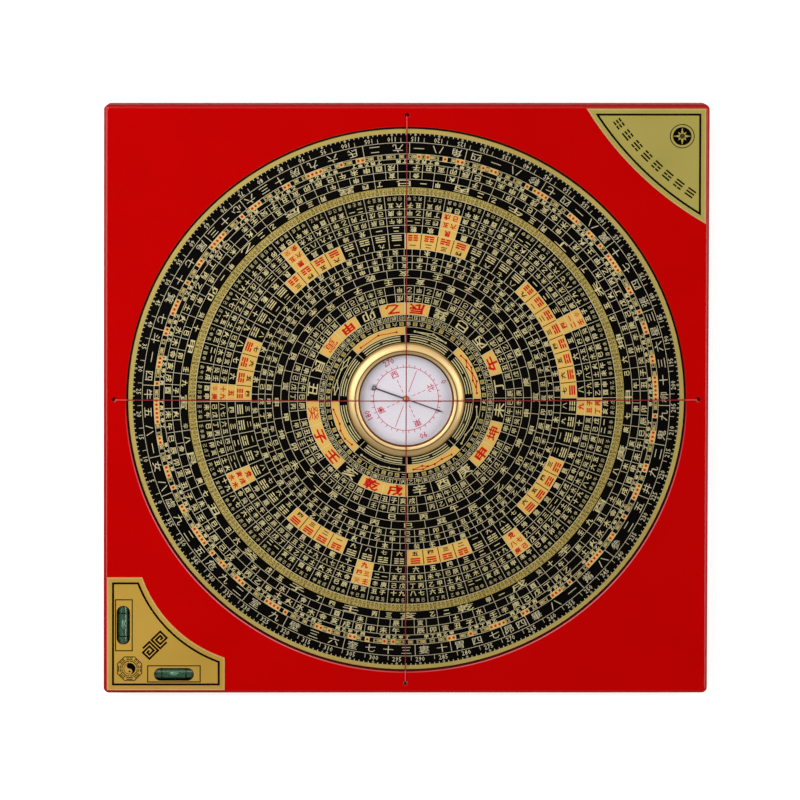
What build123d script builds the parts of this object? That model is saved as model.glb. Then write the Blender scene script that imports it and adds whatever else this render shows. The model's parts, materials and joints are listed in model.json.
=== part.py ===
from build123d import *

import os

# Feng shui compass: a square lacquered board whose round dial turns in a recess. A sealed capsule with
# a magnetic needle sits in the middle of the dial, two threads cross over it, and two spirit levels lie
# under a plate in one corner. Sizes are in millimetres. The origin is the middle of the board's
# underside, +Z is up, +X is to the right and +Y away from the person who reads the dial.

# Board
board_margin = 8.45
board_corner_radius = 2.0
board_edge_radius = 1.2
board_side_lean = 1.5
board_foot_chamfer = 0.3
floor_thickness = 3.4
recess_chamfer = 0.4

# Dial and the felt ring it slides on
dial_radius = 99.95
dial_gap = 0.55
dial_drop = 0.2
disc_thickness = 4.7
disc_chamfer = 0.6
plate_thickness = 0.5
plate_chamfer = 0.15
glide_thickness = 0.7
glide_inset = 11.7
glide_width = 26.0

# Hub under the dial
spindle_radius = 4.0
flange_radius = 12.0
flange_thickness = 1.1
bush_wall = 2.0
bush_flange_radius = 9.0
bush_flange_thickness = 0.4
hub_pocket_depth = 1.6
hub_pocket_radius = 8.5
washer_radius = 7.0
washer_thickness = 0.5
hub_screw_radius = 1.5
hub_screw_length = 2.9
hub_screw_head_radius = 2.8
hub_screw_head_height = 0.7
slot_width = 0.7
slot_depth = 0.3
flange_screw_count = 3
flange_screw_circle_radius = 8.2
flange_screw_radius = 0.9
flange_screw_head_radius = 1.7
flange_screw_head_height = 0.7
flange_screw_bite = 1.0

# Needle capsule
cup_radius = 19.0
cup_wall = 1.2
cup_floor = 0.7
cup_height = 2.4
cup_rim_drop = 0.3
gasket_thickness = 0.2
gasket_width = 1.0
lens_thickness = 1.0
lens_edge_chamfer = 0.15
card_thickness = 0.3
bezel_radius = 21.0
bezel_skirt_wall = 0.6
bezel_skirt_depth = 1.0
bezel_lip_height = 0.9
bezel_foot_height = 0.25
window_radius = 16.6
bezel_edge_width = 0.5
bezel_edge_height = 0.4
bezel_lip_width = 1.15
bezel_lip_rise = 0.32
bezel_lip_bow = 0.05
bezel_groove_width = 0.32
bezel_groove_depth = 0.42
bezel_band_bow = 0.32
bezel_land = 0.08

# Pivot and needle
boss_radius = 1.2
boss_height = 0.3
pin_radius = 0.3
pin_height = 0.98
pin_point_length = 0.38
pin_tip_radius = 0.04
pin_tip_gap = 0.04
jewel_radius = 0.48
jewel_web = 0.1
jewel_pit_radius = 0.25
jewel_pit_depth = 0.12
cap_radius = 0.9
cap_neck_radius = 0.7
cap_crown = 0.18
cap_skirt_depth = 0.62
cap_shoulder_depth = 0.3
blade_thickness = 0.15
needle_angle = -20.0
needle_front_length = 14.3
needle_front_width = 0.36
arrow_length = 2.3
arrow_width = 0.95
needle_tail_length = 12.2
needle_tail_width = 0.5
needle_ring_radius = 0.85
needle_ring_hole_radius = 0.42
needle_horn_length = 0.75
needle_horn_width = 0.45
needle_horn_angle = 50.0
needle_eye_radius = 1.1

# Corner plates
corner_plate_thickness = 0.4
corner_plate_chamfer = 0.1
corner_plate_inset = 1.45
level_plate_width = 42.4
level_plate_depth = 41.8
level_plate_side_arm = 12.7
level_plate_front_arm = 12.0
level_plate_hollow = 4.9
corner_plate_width = 43.0
corner_plate_depth = 42.5
corner_plate_bulge = 3.8

# Spirit levels
vial_radius = 2.55
vial_wall = 0.5
vial_length = 15.5
vial_window_width = 4.8
vial_window_length = 14.4
vial_far_offset = 24.1
vial_near_offset = 5.85
vial_plug_length = 1.4
bubble_radius = 1.1
bubble_length = 4.6
bubble_rise = 1.1

# Threads
thread_radius = 0.19
thread_hole_radius = 0.8
thread_hole_inset = 3.95
thread_hole_chamfer = 0.25
thread_side_gap = 0.11
thread_board_gap = 0.1
thread_bezel_gap = 0.2
thread_cross_gap = 0.03
thread_mouth_bend_radius = 0.7
thread_bezel_bend_radius = 60.0
thread_cross_bend_radius = 120.0
knot_radius = 0.9
knot_height = 1.9
knot_chamfer = 0.45
knot_pocket_radius = 1.65
knot_pocket_depth = 2.4

# Clearances
fit_gap = 0.05
seat_gap = 0.1
running_gap = 0.05
lift_gap = 0.1
cut_overrun = 1.0

# Levels of the stack, from the underside up
floor_z = floor_thickness
disc_bottom_z = floor_z + glide_thickness
plate_bottom_z = disc_bottom_z + disc_thickness
dial_face_z = plate_bottom_z + plate_thickness
board_top_z = dial_face_z + dial_drop
cup_top_z = dial_face_z - cup_rim_drop
cup_bottom_z = cup_top_z - cup_height
card_bottom_z = cup_bottom_z + cup_floor
card_top_z = card_bottom_z + card_thickness
lens_bottom_z = cup_top_z + gasket_thickness
lens_top_z = lens_bottom_z + lens_thickness
bezel_top_z = lens_top_z + bezel_lip_height
skirt_bottom_z = dial_face_z - bezel_skirt_depth
flange_top_z = disc_bottom_z + flange_thickness
spindle_bottom_z = hub_pocket_depth - lift_gap
pin_tip_z = card_top_z + pin_height
jewel_bottom_z = pin_tip_z + pin_tip_gap - jewel_pit_depth
jewel_top_z = pin_tip_z + pin_tip_gap + jewel_web
cap_top_z = jewel_top_z + cap_crown
cap_bottom_z = pin_tip_z + pin_tip_gap - cap_skirt_depth
blade_top_z = pin_tip_z + pin_tip_gap - cap_shoulder_depth
vial_axis_z = board_top_z - seat_gap - vial_radius

# Radii that follow from the pieces that meet
recess_radius = dial_radius + dial_gap
glide_radius = dial_radius - glide_inset
cup_inner_radius = cup_radius - cup_wall
cup_bore_radius = cup_radius + fit_gap
skirt_radius = cup_bore_radius + bezel_skirt_wall
skirt_bore_radius = skirt_radius + fit_gap
lens_radius = cup_radius - seat_gap
card_radius = cup_inner_radius - seat_gap
bush_bore_radius = spindle_radius + running_gap
bush_radius = bush_bore_radius + bush_wall
cap_bore_radius = jewel_radius + fit_gap / 2
blade_eye_radius = cap_neck_radius + fit_gap
vial_bore_radius = vial_radius - vial_wall
vial_pocket_radius = vial_radius + seat_gap
plug_radius = vial_bore_radius - fit_gap
liquid_length = vial_length - 2 * vial_plug_length - fit_gap

# Places on the board
board_half = recess_radius + board_margin
board_side = 2 * board_half
plate_corner = board_half - corner_plate_inset
thread_hole_place = board_half - thread_hole_inset
thread_run_place = thread_hole_place - thread_hole_radius + thread_radius + thread_side_gap
level_near = -plate_corner + vial_near_offset
level_far = -plate_corner + vial_far_offset


def turned(outline):
    """A solid of revolution about Z from a closed outline of edges, drawn as radius and height."""
    return revolve(Plane.XZ * make_face(outline.edges()), Axis.Z)


def ring(outer, inner, bottom, top):
    """A flat ring between two radii and two levels."""
    return Pos(0, 0, bottom) * extrude(Circle(outer) - Circle(inner), top - bottom)


def disc(radius, bottom, top):
    """A plain round disc between two levels."""
    return Pos(0, 0, bottom) * extrude(Circle(radius), top - bottom)


def edges_at(solid, level):
    """The edges of a solid that lie wholly at one level."""
    return solid.edges().filter_by_position(Axis.Z, level, level)


def thread_hole_places():
    """The four places where the threads pass through the board."""
    return [Pos(*place) for place in (
        (thread_hole_place, 0), (0, thread_hole_place), (-thread_hole_place, 0), (0, -thread_hole_place))]


def along_x(shape, place_x, place_y):
    """Lays a shape that was made along X at a place of the level plate."""
    return Pos(place_x, place_y, vial_axis_z) * shape


def along_y(shape, place_x, place_y):
    """Lays a shape that was made along X at a place of the level plate, turned to run along Y."""
    return Pos(place_x, place_y, vial_axis_z) * Rot(0, 0, 90) * shape


def outer_board():
    """The lacquered board, whose sides lean in to the back, with its recess, pockets and holes."""
    foot_side = board_side - 2 * board_side_lean
    foot = RectangleRounded(foot_side, foot_side, board_corner_radius - board_side_lean / 2)
    top = Pos(0, 0, board_top_z) * RectangleRounded(board_side, board_side, board_corner_radius)
    board = loft([foot.face(), top.face()], ruled=True)
    board = fillet(edges_at(board, board_top_z), board_edge_radius)
    board = chamfer(edges_at(board, 0), board_foot_chamfer)
    board -= disc(recess_radius, floor_z, board_top_z + cut_overrun)
    rim = edges_at(board, board_top_z).filter_by(GeomType.CIRCLE).sort_by(Edge.length)[-1]
    board = chamfer(rim, recess_chamfer)
    board -= disc(bush_radius + fit_gap, -cut_overrun, floor_z + cut_overrun)
    board -= disc(hub_pocket_radius, -cut_overrun, hub_pocket_depth)
    mouth = Cone(thread_hole_radius, thread_hole_radius + thread_hole_chamfer, thread_hole_chamfer)
    for place in thread_hole_places():
        board -= place * disc(thread_hole_radius, -cut_overrun, board_top_z + cut_overrun)
        board -= place * disc(knot_pocket_radius, -cut_overrun, knot_pocket_depth)
        board -= place * Pos(0, 0, board_top_z - thread_hole_chamfer / 2) * mouth
    pocket = level_pocket()
    board -= along_x(pocket, level_far, level_near)
    board -= along_y(pocket, level_near, level_far)
    return board


def level_pocket():
    """The trough for one vial, open at the top, made along X about the vial's axis."""
    length = vial_length + 2 * seat_gap
    height = board_top_z - vial_axis_z + cut_overrun
    trough = Rot(0, 90, 0) * Cylinder(vial_pocket_radius, length)
    mouth = Pos(0, 0, height / 2) * Box(length, 2 * vial_pocket_radius, height)
    return trough + mouth


def glide_ring():
    """The felt ring on the recess floor that the dial slides on."""
    return ring(glide_radius, glide_radius - glide_width, floor_z, disc_bottom_z)


def dial_disc():
    """The disc that turns in the board, bored for the capsule and recessed for the spindle's flange."""
    body = disc(dial_radius, disc_bottom_z, plate_bottom_z)
    body = chamfer(edges_at(body, disc_bottom_z), disc_chamfer)
    body -= disc(cup_bore_radius, cup_bottom_z, plate_bottom_z + cut_overrun)
    body -= disc(skirt_bore_radius, skirt_bottom_z, plate_bottom_z + cut_overrun)
    body -= disc(flange_radius + fit_gap, disc_bottom_z - cut_overrun, flange_top_z)
    hole = disc(flange_screw_radius + fit_gap, flange_top_z - cut_overrun, flange_top_z + flange_screw_bite)
    for place in flange_screw_places():
        body -= place * hole
    return body


def dial_plate():
    """The thin metal plate on the dial's face."""
    plate = ring(dial_radius, skirt_bore_radius, plate_bottom_z, dial_face_z)
    return chamfer(edges_at(plate, dial_face_z).sort_by(Edge.length)[-1], plate_chamfer)


def flange_screw_places():
    """The places of the small screws round the spindle's flange."""
    return PolarLocations(flange_screw_circle_radius, flange_screw_count)


def dial_spindle():
    """The flanged spindle under the dial, tapped at its end and countersunk for the flange screws."""
    spindle = disc(flange_radius, disc_bottom_z, flange_top_z)
    spindle += disc(spindle_radius, spindle_bottom_z, flange_top_z)
    spindle -= disc(hub_screw_radius + fit_gap, spindle_bottom_z - cut_overrun,
                    spindle_bottom_z + hub_screw_length + seat_gap - washer_thickness)
    sink = countersunk_screw(fit_gap)
    sink += disc(flange_screw_head_radius + fit_gap, disc_bottom_z - cut_overrun, disc_bottom_z)
    for place in flange_screw_places():
        spindle -= place * sink
    return spindle


def countersunk_screw(extra):
    """One flange screw, point up, widened by an extra radius."""
    head_radius = flange_screw_head_radius + extra
    shank_radius = flange_screw_radius + extra
    sink_z = disc_bottom_z + flange_screw_head_height
    point_z = flange_top_z + flange_screw_bite - seat_gap
    return turned(Polyline(
        (0, disc_bottom_z), (head_radius, disc_bottom_z), (shank_radius, sink_z), (shank_radius, point_z),
        (0, point_z), close=True))


def flange_screws():
    """The countersunk screws that hold the flange, each with its driver slot."""
    slot = Pos(0, 0, disc_bottom_z) * Box(2 * flange_screw_head_radius, slot_width / 2, slot_depth)
    screw = countersunk_screw(0) - slot
    return Compound([place * screw for place in flange_screw_places()])


def hub_bush():
    """The flanged bush in the board's floor, in which the spindle turns."""
    bush = ring(bush_radius, bush_bore_radius, hub_pocket_depth, floor_z + bush_flange_thickness)
    return bush + ring(bush_flange_radius, bush_bore_radius, floor_z, floor_z + bush_flange_thickness)


def retaining_washer():
    """The washer on the spindle's end, wider than the bush's bore."""
    bottom_z = spindle_bottom_z - washer_thickness
    return ring(washer_radius, hub_screw_radius + fit_gap, bottom_z, spindle_bottom_z)


def retaining_screw():
    """The slotted screw in the spindle's end, head down in the board's back pocket."""
    seat_z = spindle_bottom_z - washer_thickness
    head_z = seat_z - hub_screw_head_height
    screw = disc(hub_screw_radius, seat_z, seat_z + hub_screw_length)
    head = disc(hub_screw_head_radius, head_z, seat_z)
    head = chamfer(edges_at(head, head_z), hub_screw_head_height / 3)
    slot = Pos(0, 0, head_z) * Box(2 * hub_screw_head_radius, slot_width, 2 * slot_depth)
    return screw + head - slot


def capsule_cup():
    """The cup let into the dial, with a hole in its floor for the pivot boss's pin."""
    cup = disc(cup_radius, cup_bottom_z, cup_top_z)
    cup -= disc(cup_inner_radius, card_bottom_z, cup_top_z + cut_overrun)
    return cup - disc(pin_radius + fit_gap, cup_bottom_z + cup_floor / 3, cup_top_z)


def compass_card():
    """The round card on the cup's floor."""
    return ring(card_radius, boss_radius + fit_gap, card_bottom_z, card_top_z)


def glass_gasket():
    """The soft ring between the cup's rim and the glass."""
    return ring(lens_radius, lens_radius - gasket_width, cup_top_z, lens_bottom_z)


def lens_glass():
    """The flat glass, with both edges broken."""
    lens = disc(lens_radius, lens_bottom_z, lens_top_z)
    return chamfer(lens.edges().filter_by(GeomType.CIRCLE), lens_edge_chamfer)


def bezel_ring():
    """The rounded ring over the cup's rim: a crowned band, a fine groove, a sloping lip and a steep edge."""
    foot_z = dial_face_z + bezel_foot_height
    edge_radius = window_radius + bezel_edge_width
    edge_z = lens_top_z + bezel_edge_height
    lip_radius = edge_radius + bezel_lip_width
    lip_z = edge_z + bezel_lip_rise
    groove_z = bezel_top_z - bezel_groove_depth
    band_radius = lip_radius + bezel_groove_width
    outline = Polyline(
        (edge_radius, edge_z), (window_radius, lens_top_z + bezel_land), (window_radius, lens_top_z),
        (cup_bore_radius, lens_top_z), (cup_bore_radius, skirt_bottom_z), (skirt_radius, skirt_bottom_z),
        (skirt_radius, dial_face_z), (bezel_radius, dial_face_z), (bezel_radius, foot_z))
    outline += bowed((bezel_radius, foot_z), (band_radius, bezel_top_z), -bezel_band_bow)
    outline += Polyline(
        (band_radius, bezel_top_z), (lip_radius + bezel_groove_width / 2, groove_z), (lip_radius, lip_z))
    outline += bowed((lip_radius, lip_z), (edge_radius, edge_z), -bezel_lip_bow)
    return turned(outline)


def pivot_boss():
    """The small boss through the card that steadies the pin."""
    boss = ring(boss_radius, pin_radius + fit_gap, card_bottom_z, card_top_z + boss_height)
    return chamfer(edges_at(boss, card_top_z + boss_height).sort_by(Edge.length)[-1], boss_height / 2)


def pivot_pin():
    """The steel pin, ground to a point."""
    foot_z = cup_bottom_z + cup_floor / 3
    shoulder_z = pin_tip_z - pin_point_length
    return turned(Polyline(
        (0, foot_z), (pin_radius, foot_z), (pin_radius, shoulder_z), (pin_tip_radius, pin_tip_z),
        (0, pin_tip_z), close=True))


def needle_jewel():
    """The hard bearing cup over the pin's point, with a conical pit."""
    pit_z = jewel_bottom_z + jewel_pit_depth
    return turned(Polyline(
        (0, pit_z), (jewel_pit_radius, jewel_bottom_z), (jewel_radius, jewel_bottom_z),
        (jewel_radius, jewel_top_z), (0, jewel_top_z), close=True))


def needle_cap():
    """The domed cap that holds the jewel and carries the blade under its shoulder."""
    dome_z = blade_top_z + (cap_top_z - blade_top_z) * 0.4
    outline = Polyline(
        (0, cap_top_z), (0, jewel_top_z), (cap_bore_radius, jewel_top_z), (cap_bore_radius, cap_bottom_z),
        (cap_neck_radius, cap_bottom_z), (cap_neck_radius, blade_top_z), (cap_radius, blade_top_z),
        (cap_radius, dome_z))
    outline += TangentArc((0, cap_top_z), (cap_radius, dome_z), tangent=(1, 0))
    return turned(outline)


def needle_blade():
    """The flat needle: a slim arrow to the front and a broader tail that ends in a horned ring."""
    shaft = needle_front_length - arrow_length
    arrow = Polyline(
        (shaft, arrow_width / 2), (needle_front_length, 0), (shaft, -arrow_width / 2), close=True)
    blade = Pos(shaft / 2, 0) * Rectangle(shaft, needle_front_width)
    blade += make_face(arrow.edges())
    blade += Pos(-needle_tail_length / 2, 0) * Rectangle(needle_tail_length, needle_tail_width)
    blade += Circle(needle_eye_radius)
    blade += Pos(-needle_tail_length, 0) * Circle(needle_ring_radius)
    blade -= Pos(-needle_tail_length, 0) * Circle(needle_ring_hole_radius)
    root = needle_ring_hole_radius + (needle_ring_radius - needle_ring_hole_radius) / 2
    horn = Polyline(
        (root, needle_horn_width / 2), (needle_ring_radius + needle_horn_length, 0),
        (root, -needle_horn_width / 2), close=True)
    for turn in (180 - needle_horn_angle, 180 + needle_horn_angle):
        blade += Pos(-needle_tail_length, 0) * Rot(0, 0, turn) * make_face(horn.edges())
    blade -= Circle(blade_eye_radius)
    place = Pos(0, 0, blade_top_z - blade_thickness) * Rot(0, 0, needle_angle)
    return place * extrude(blade, blade_thickness)


def finish_plate(outline):
    """Makes a corner plate from its outline, laid on the board and broken along its top edges."""
    plate = Pos(0, 0, board_top_z) * extrude(make_face(outline.edges()), corner_plate_thickness)
    return chamfer(edges_at(plate, board_top_z + corner_plate_thickness), corner_plate_chamfer)


def bowed(start, end, sagitta):
    """An arc between two points that leaves their chord by a sagitta, to the left of the way."""
    chord = Vector(*end) - Vector(*start)
    middle = (Vector(*start) + Vector(*end)) / 2
    side = Vector(-chord.Y, chord.X).normalized()
    return ThreePointArc(start, middle + side * sagitta, end)


def level_plate():
    """The plate over the two levels, hollowed towards the dial, with a window for each vial."""
    low = -plate_corner
    side_end = (low + level_plate_side_arm, low + level_plate_depth)
    front_end = (low + level_plate_width, low + level_plate_front_arm)
    outline = Polyline(side_end, (low, low + level_plate_depth), (low, low),
                       (low + level_plate_width, low), front_end)
    outline += bowed(front_end, side_end, level_plate_hollow)
    plate = finish_plate(outline)
    window = Pos(0, 0, board_top_z - cut_overrun) * extrude(
        SlotOverall(vial_window_length, vial_window_width), 2 * cut_overrun + corner_plate_thickness)
    plate -= Pos(level_far, level_near) * window
    plate -= Pos(level_near, level_far) * Rot(0, 0, 90) * window
    return plate


def corner_plate():
    """The plain plate in the opposite corner, bulging towards the dial."""
    high = plate_corner
    top_end = (high - corner_plate_width, high)
    side_end = (high, high - corner_plate_depth)
    outline = Polyline(top_end, (high, high), side_end)
    outline += bowed(side_end, top_end, corner_plate_bulge)
    return finish_plate(outline)


def vial_glass():
    """One vial's tube, made along X."""
    return Rot(0, 90, 0) * (Cylinder(vial_radius, vial_length) - Cylinder(vial_bore_radius, vial_length))


def vial_plugs():
    """The plugs in both ends of one tube."""
    plug = Rot(0, 90, 0) * Cylinder(plug_radius, vial_plug_length)
    place = (vial_length - vial_plug_length) / 2
    return Compound([Pos(place, 0, 0) * plug, Pos(-place, 0, 0) * plug])


def vial_liquid():
    """The liquid in one tube, with the bubble at its top left free."""
    body = Rot(0, 90, 0) * Cylinder(vial_bore_radius - fit_gap / 2, liquid_length)
    straight = bubble_length - 2 * bubble_radius
    bubble = Rot(0, 90, 0) * Cylinder(bubble_radius, straight)
    for side in (1, -1):
        bubble += Pos(side * straight / 2, 0, 0) * Sphere(bubble_radius)
    return body - Pos(0, 0, bubble_rise) * bubble


def thread(side):
    """One knotted thread, tight from hole to hole along X.

    It bends over each hole's mouth, rises to the bezel, and at the middle is pressed up or down by the
    other thread, as side is 1 or -1.
    """
    low_z = knot_pocket_depth - seat_gap - knot_height / 2
    mouth_z = board_top_z + thread_radius + thread_board_gap
    bezel_z = bezel_top_z + thread_radius + thread_bezel_gap
    bezel_x = bezel_radius - (bezel_radius - window_radius) / 2
    cross_z = bezel_z + side * (thread_radius + thread_cross_gap / 2)
    start = [(-thread_run_place, 0, low_z), (-thread_run_place, 0, mouth_z), (-bezel_x, 0, bezel_z)]
    end = [(-x, y, z) for x, y, z in reversed(start)]
    points = start + [(0, 0, cross_z)] + end
    bends = [thread_mouth_bend_radius, thread_bezel_bend_radius, thread_cross_bend_radius,
             thread_bezel_bend_radius, thread_mouth_bend_radius]
    path = FilletPolyline(*points, radius=bends)
    section = Plane(origin=path @ 0, z_dir=path % 0) * Circle(thread_radius)
    tube = sweep(section, path=path)
    share = tube.volume / (section.area * path.length)
    print(f"thread {path.length:.1f} long, bends {bends}, volume over section times length {share:.4f}")
    for place in (thread_run_place, -thread_run_place):
        tube += Pos(place, 0, low_z) * knot_shape()
    return tube


def knot_shape():
    """A small stopper knot, drawn up to a barrel with broken edges."""
    return chamfer(Cylinder(knot_radius, knot_height).edges().filter_by(GeomType.CIRCLE), knot_chamfer)


parts = {
    "outer_board": outer_board(),
    "glide_ring": glide_ring(),
    "hub_bush": hub_bush(),
    "level_plate": level_plate(),
    "corner_plate": corner_plate(),
    "vial_glass_x": along_x(vial_glass(), level_far, level_near),
    "vial_glass_y": along_y(vial_glass(), level_near, level_far),
    "vial_liquid_x": along_x(vial_liquid(), level_far, level_near),
    "vial_liquid_y": along_y(vial_liquid(), level_near, level_far),
    "vial_plugs_x": along_x(vial_plugs(), level_far, level_near),
    "vial_plugs_y": along_y(vial_plugs(), level_near, level_far),
    "string_ew": thread(-1),
    "string_ns": Rot(0, 0, 90) * thread(1),
    "dial_disc": dial_disc(),
    "dial_plate": dial_plate(),
    "dial_spindle": dial_spindle(),
    "spindle_screws": flange_screws(),
    "retaining_washer": retaining_washer(),
    "retaining_screw": retaining_screw(),
    "capsule_cup": capsule_cup(),
    "compass_card": compass_card(),
    "glass_gasket": glass_gasket(),
    "lens_glass": lens_glass(),
    "bezel_ring": bezel_ring(),
    "pivot_boss": pivot_boss(),
    "pivot_pin": pivot_pin(),
    "needle_jewel": needle_jewel(),
    "needle_cap": needle_cap(),
    "needle_blade": needle_blade(),
}

os.makedirs("parts", exist_ok=True)
for name, shape in parts.items():
    export_step(shape, f"parts/{name}.step")
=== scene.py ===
"""The looks of a feng shui compass: its finishes, its print, the camera and the light.

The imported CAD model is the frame. Its nodes keep their places and get finishes, and what is printed on them
lies a few hundredths of a millimetre above their faces. Sizes here are in millimetres unless a name says
otherwise; angles round the dial run clockwise from the top of the photograph, in degrees.
"""

import json
import logging
from dataclasses import dataclass, field
from enum import Enum

import bpy
import numpy as np
from mathutils import Matrix, Vector
from mathutils.geometry import tessellate_polygon

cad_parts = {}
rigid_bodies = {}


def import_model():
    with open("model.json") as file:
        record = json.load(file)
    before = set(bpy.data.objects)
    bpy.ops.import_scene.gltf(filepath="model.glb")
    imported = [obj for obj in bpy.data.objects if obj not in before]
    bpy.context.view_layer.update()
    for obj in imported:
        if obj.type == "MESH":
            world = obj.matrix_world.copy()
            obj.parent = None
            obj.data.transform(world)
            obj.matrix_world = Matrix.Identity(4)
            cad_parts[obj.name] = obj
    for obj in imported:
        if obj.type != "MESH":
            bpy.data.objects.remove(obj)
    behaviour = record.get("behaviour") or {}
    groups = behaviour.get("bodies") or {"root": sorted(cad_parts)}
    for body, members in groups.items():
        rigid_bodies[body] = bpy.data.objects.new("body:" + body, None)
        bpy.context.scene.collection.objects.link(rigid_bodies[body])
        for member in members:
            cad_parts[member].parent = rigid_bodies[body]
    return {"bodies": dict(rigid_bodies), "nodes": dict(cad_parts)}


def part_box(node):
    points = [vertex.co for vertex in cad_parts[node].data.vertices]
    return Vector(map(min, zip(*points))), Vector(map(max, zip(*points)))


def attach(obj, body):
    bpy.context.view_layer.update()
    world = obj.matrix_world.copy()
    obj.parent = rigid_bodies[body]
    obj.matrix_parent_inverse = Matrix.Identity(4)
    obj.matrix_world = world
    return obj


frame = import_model()

MM = 0.001
TWO_PI = 2 * np.pi
Colour = tuple[float, float, float]
Socket = bpy.types.NodeSocket

# In a Mix node of colours, the inputs for the share and for both colours, and the output
MIX_INPUTS = (0, 6, 7)
MIX_OUTPUT = 2

logging.basicConfig(level=logging.INFO, format="%(message)s")
log = logging.getLogger("compass")

# Signs of the traditional rings
NUMERALS = "一二三四五六七八九十"
STEMS = "甲乙丙丁戊己庚辛壬癸"
BRANCHES = "子丑寅卯辰巳午未申酉戌亥"
PHASES = "金木水火土"
TRIGRAM_NAMES = "乾坎艮震巽離坤兌"
MOUNTAINS = "壬子癸丑艮寅甲卯乙辰巽巳丙午丁未坤申庚酉辛戌乾亥"
MANSIONS = "角亢氐房心尾箕斗牛女虛危室壁奎婁胃昴畢觜參井鬼柳星張翼軫"
WINDS = "北東南西"


class Grain(Enum):
    """How a finish's fine texture runs."""

    FINE = "fine_grain"
    BRUSHED = "brushed_grain"
    TURNED = "turned_grain"
    FIBRE = "fibre_grain"


@dataclass
class Graph:
    """A node tree of a material, group or world, with short calls to add and join its nodes."""

    tree: bpy.types.NodeTree

    def feed(self, target: Socket, value: object) -> None:
        """Gives an input a plain value, or another node's output to follow."""
        if isinstance(value, Socket):
            self.tree.links.new(value, target)
        else:
            target.default_value = value

    def set(self, node: bpy.types.Node, **values: object) -> None:
        """Feeds a node's inputs, by name with underscores for blanks."""
        for name, value in values.items():
            self.feed(node.inputs[name.replace("_", " ")], value)

    def add(self, kind: str, **settings: object) -> bpy.types.Node:
        """Adds a node.

        Args:
            kind: the node's type name.
            settings: its properties and inputs.

        Returns:
            The new node.
        """
        node = self.tree.nodes.new(kind)
        for name, value in settings.items():
            if hasattr(node, name):
                setattr(node, name, value)
            else:
                self.set(node, **{name: value})
        return node

    def maths(self, operation: str, first: object, second: object = 0.0, clamp: bool = False) -> Socket:
        """Adds a Math node.

        Args:
            operation: the node's operation.
            first: a socket or a number.
            second: a socket or a number.
            clamp: whether the result is kept from 0 to 1.

        Returns:
            The node's output.
        """
        node = self.add("ShaderNodeMath", operation=operation, use_clamp=clamp)
        self.feed(node.inputs[0], first)
        self.feed(node.inputs[1], second)
        return node.outputs[0]

    def product(self, *factors: object) -> Socket:
        """Multiplies sockets and numbers."""
        result = factors[0]
        for factor in factors[1:]:
            result = self.maths("MULTIPLY", result, factor)
        return result

    def place(self) -> tuple[Socket, ...]:
        """The object's own x, y and z at the point shaded."""
        at = self.add("ShaderNodeTexCoord").outputs["Object"]
        return tuple(self.add("ShaderNodeSeparateXYZ", Vector=at).outputs)

    def from_axis(self) -> Socket:
        """The distance from the Z axis, sqrt(x^2 + y^2)."""
        x, y, _ = self.place()
        return self.maths("SQRT", self.maths("ADD", self.product(x, x), self.product(y, y)))

    def spread(self, value: Socket, low: object, high: object, start: float = 0.0, end: float = 1.0) -> Socket:
        """Maps a range of a value to another range, and keeps the result in it.

        Args:
            value: the value's socket.
            low: what the range's start gives, a socket or a number.
            high: what its end gives, a socket or a number.
            start: where the value's range starts.
            end: where it ends.

        Returns:
            The mapped value.
        """
        return self.add("ShaderNodeMapRange", Value=value, From_Min=start, From_Max=end, To_Min=low,
                        To_Max=high).outputs[0]

    def mixed(self, share: Socket, first: object, second: Colour) -> Socket:
        """Mixes two colours.

        Args:
            share: 0 for the first colour and 1 for the second.
            first: a socket or a linear colour.
            second: a linear colour.

        Returns:
            The mixed colour.
        """
        node = self.add("ShaderNodeMix", data_type="RGBA")
        plain = first if isinstance(first, Socket) else (*first, 1)
        for index, value in zip(MIX_INPUTS, (share, plain, (*second, 1))):
            self.feed(node.inputs[index], value)
        return node.outputs[MIX_OUTPUT]


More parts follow.
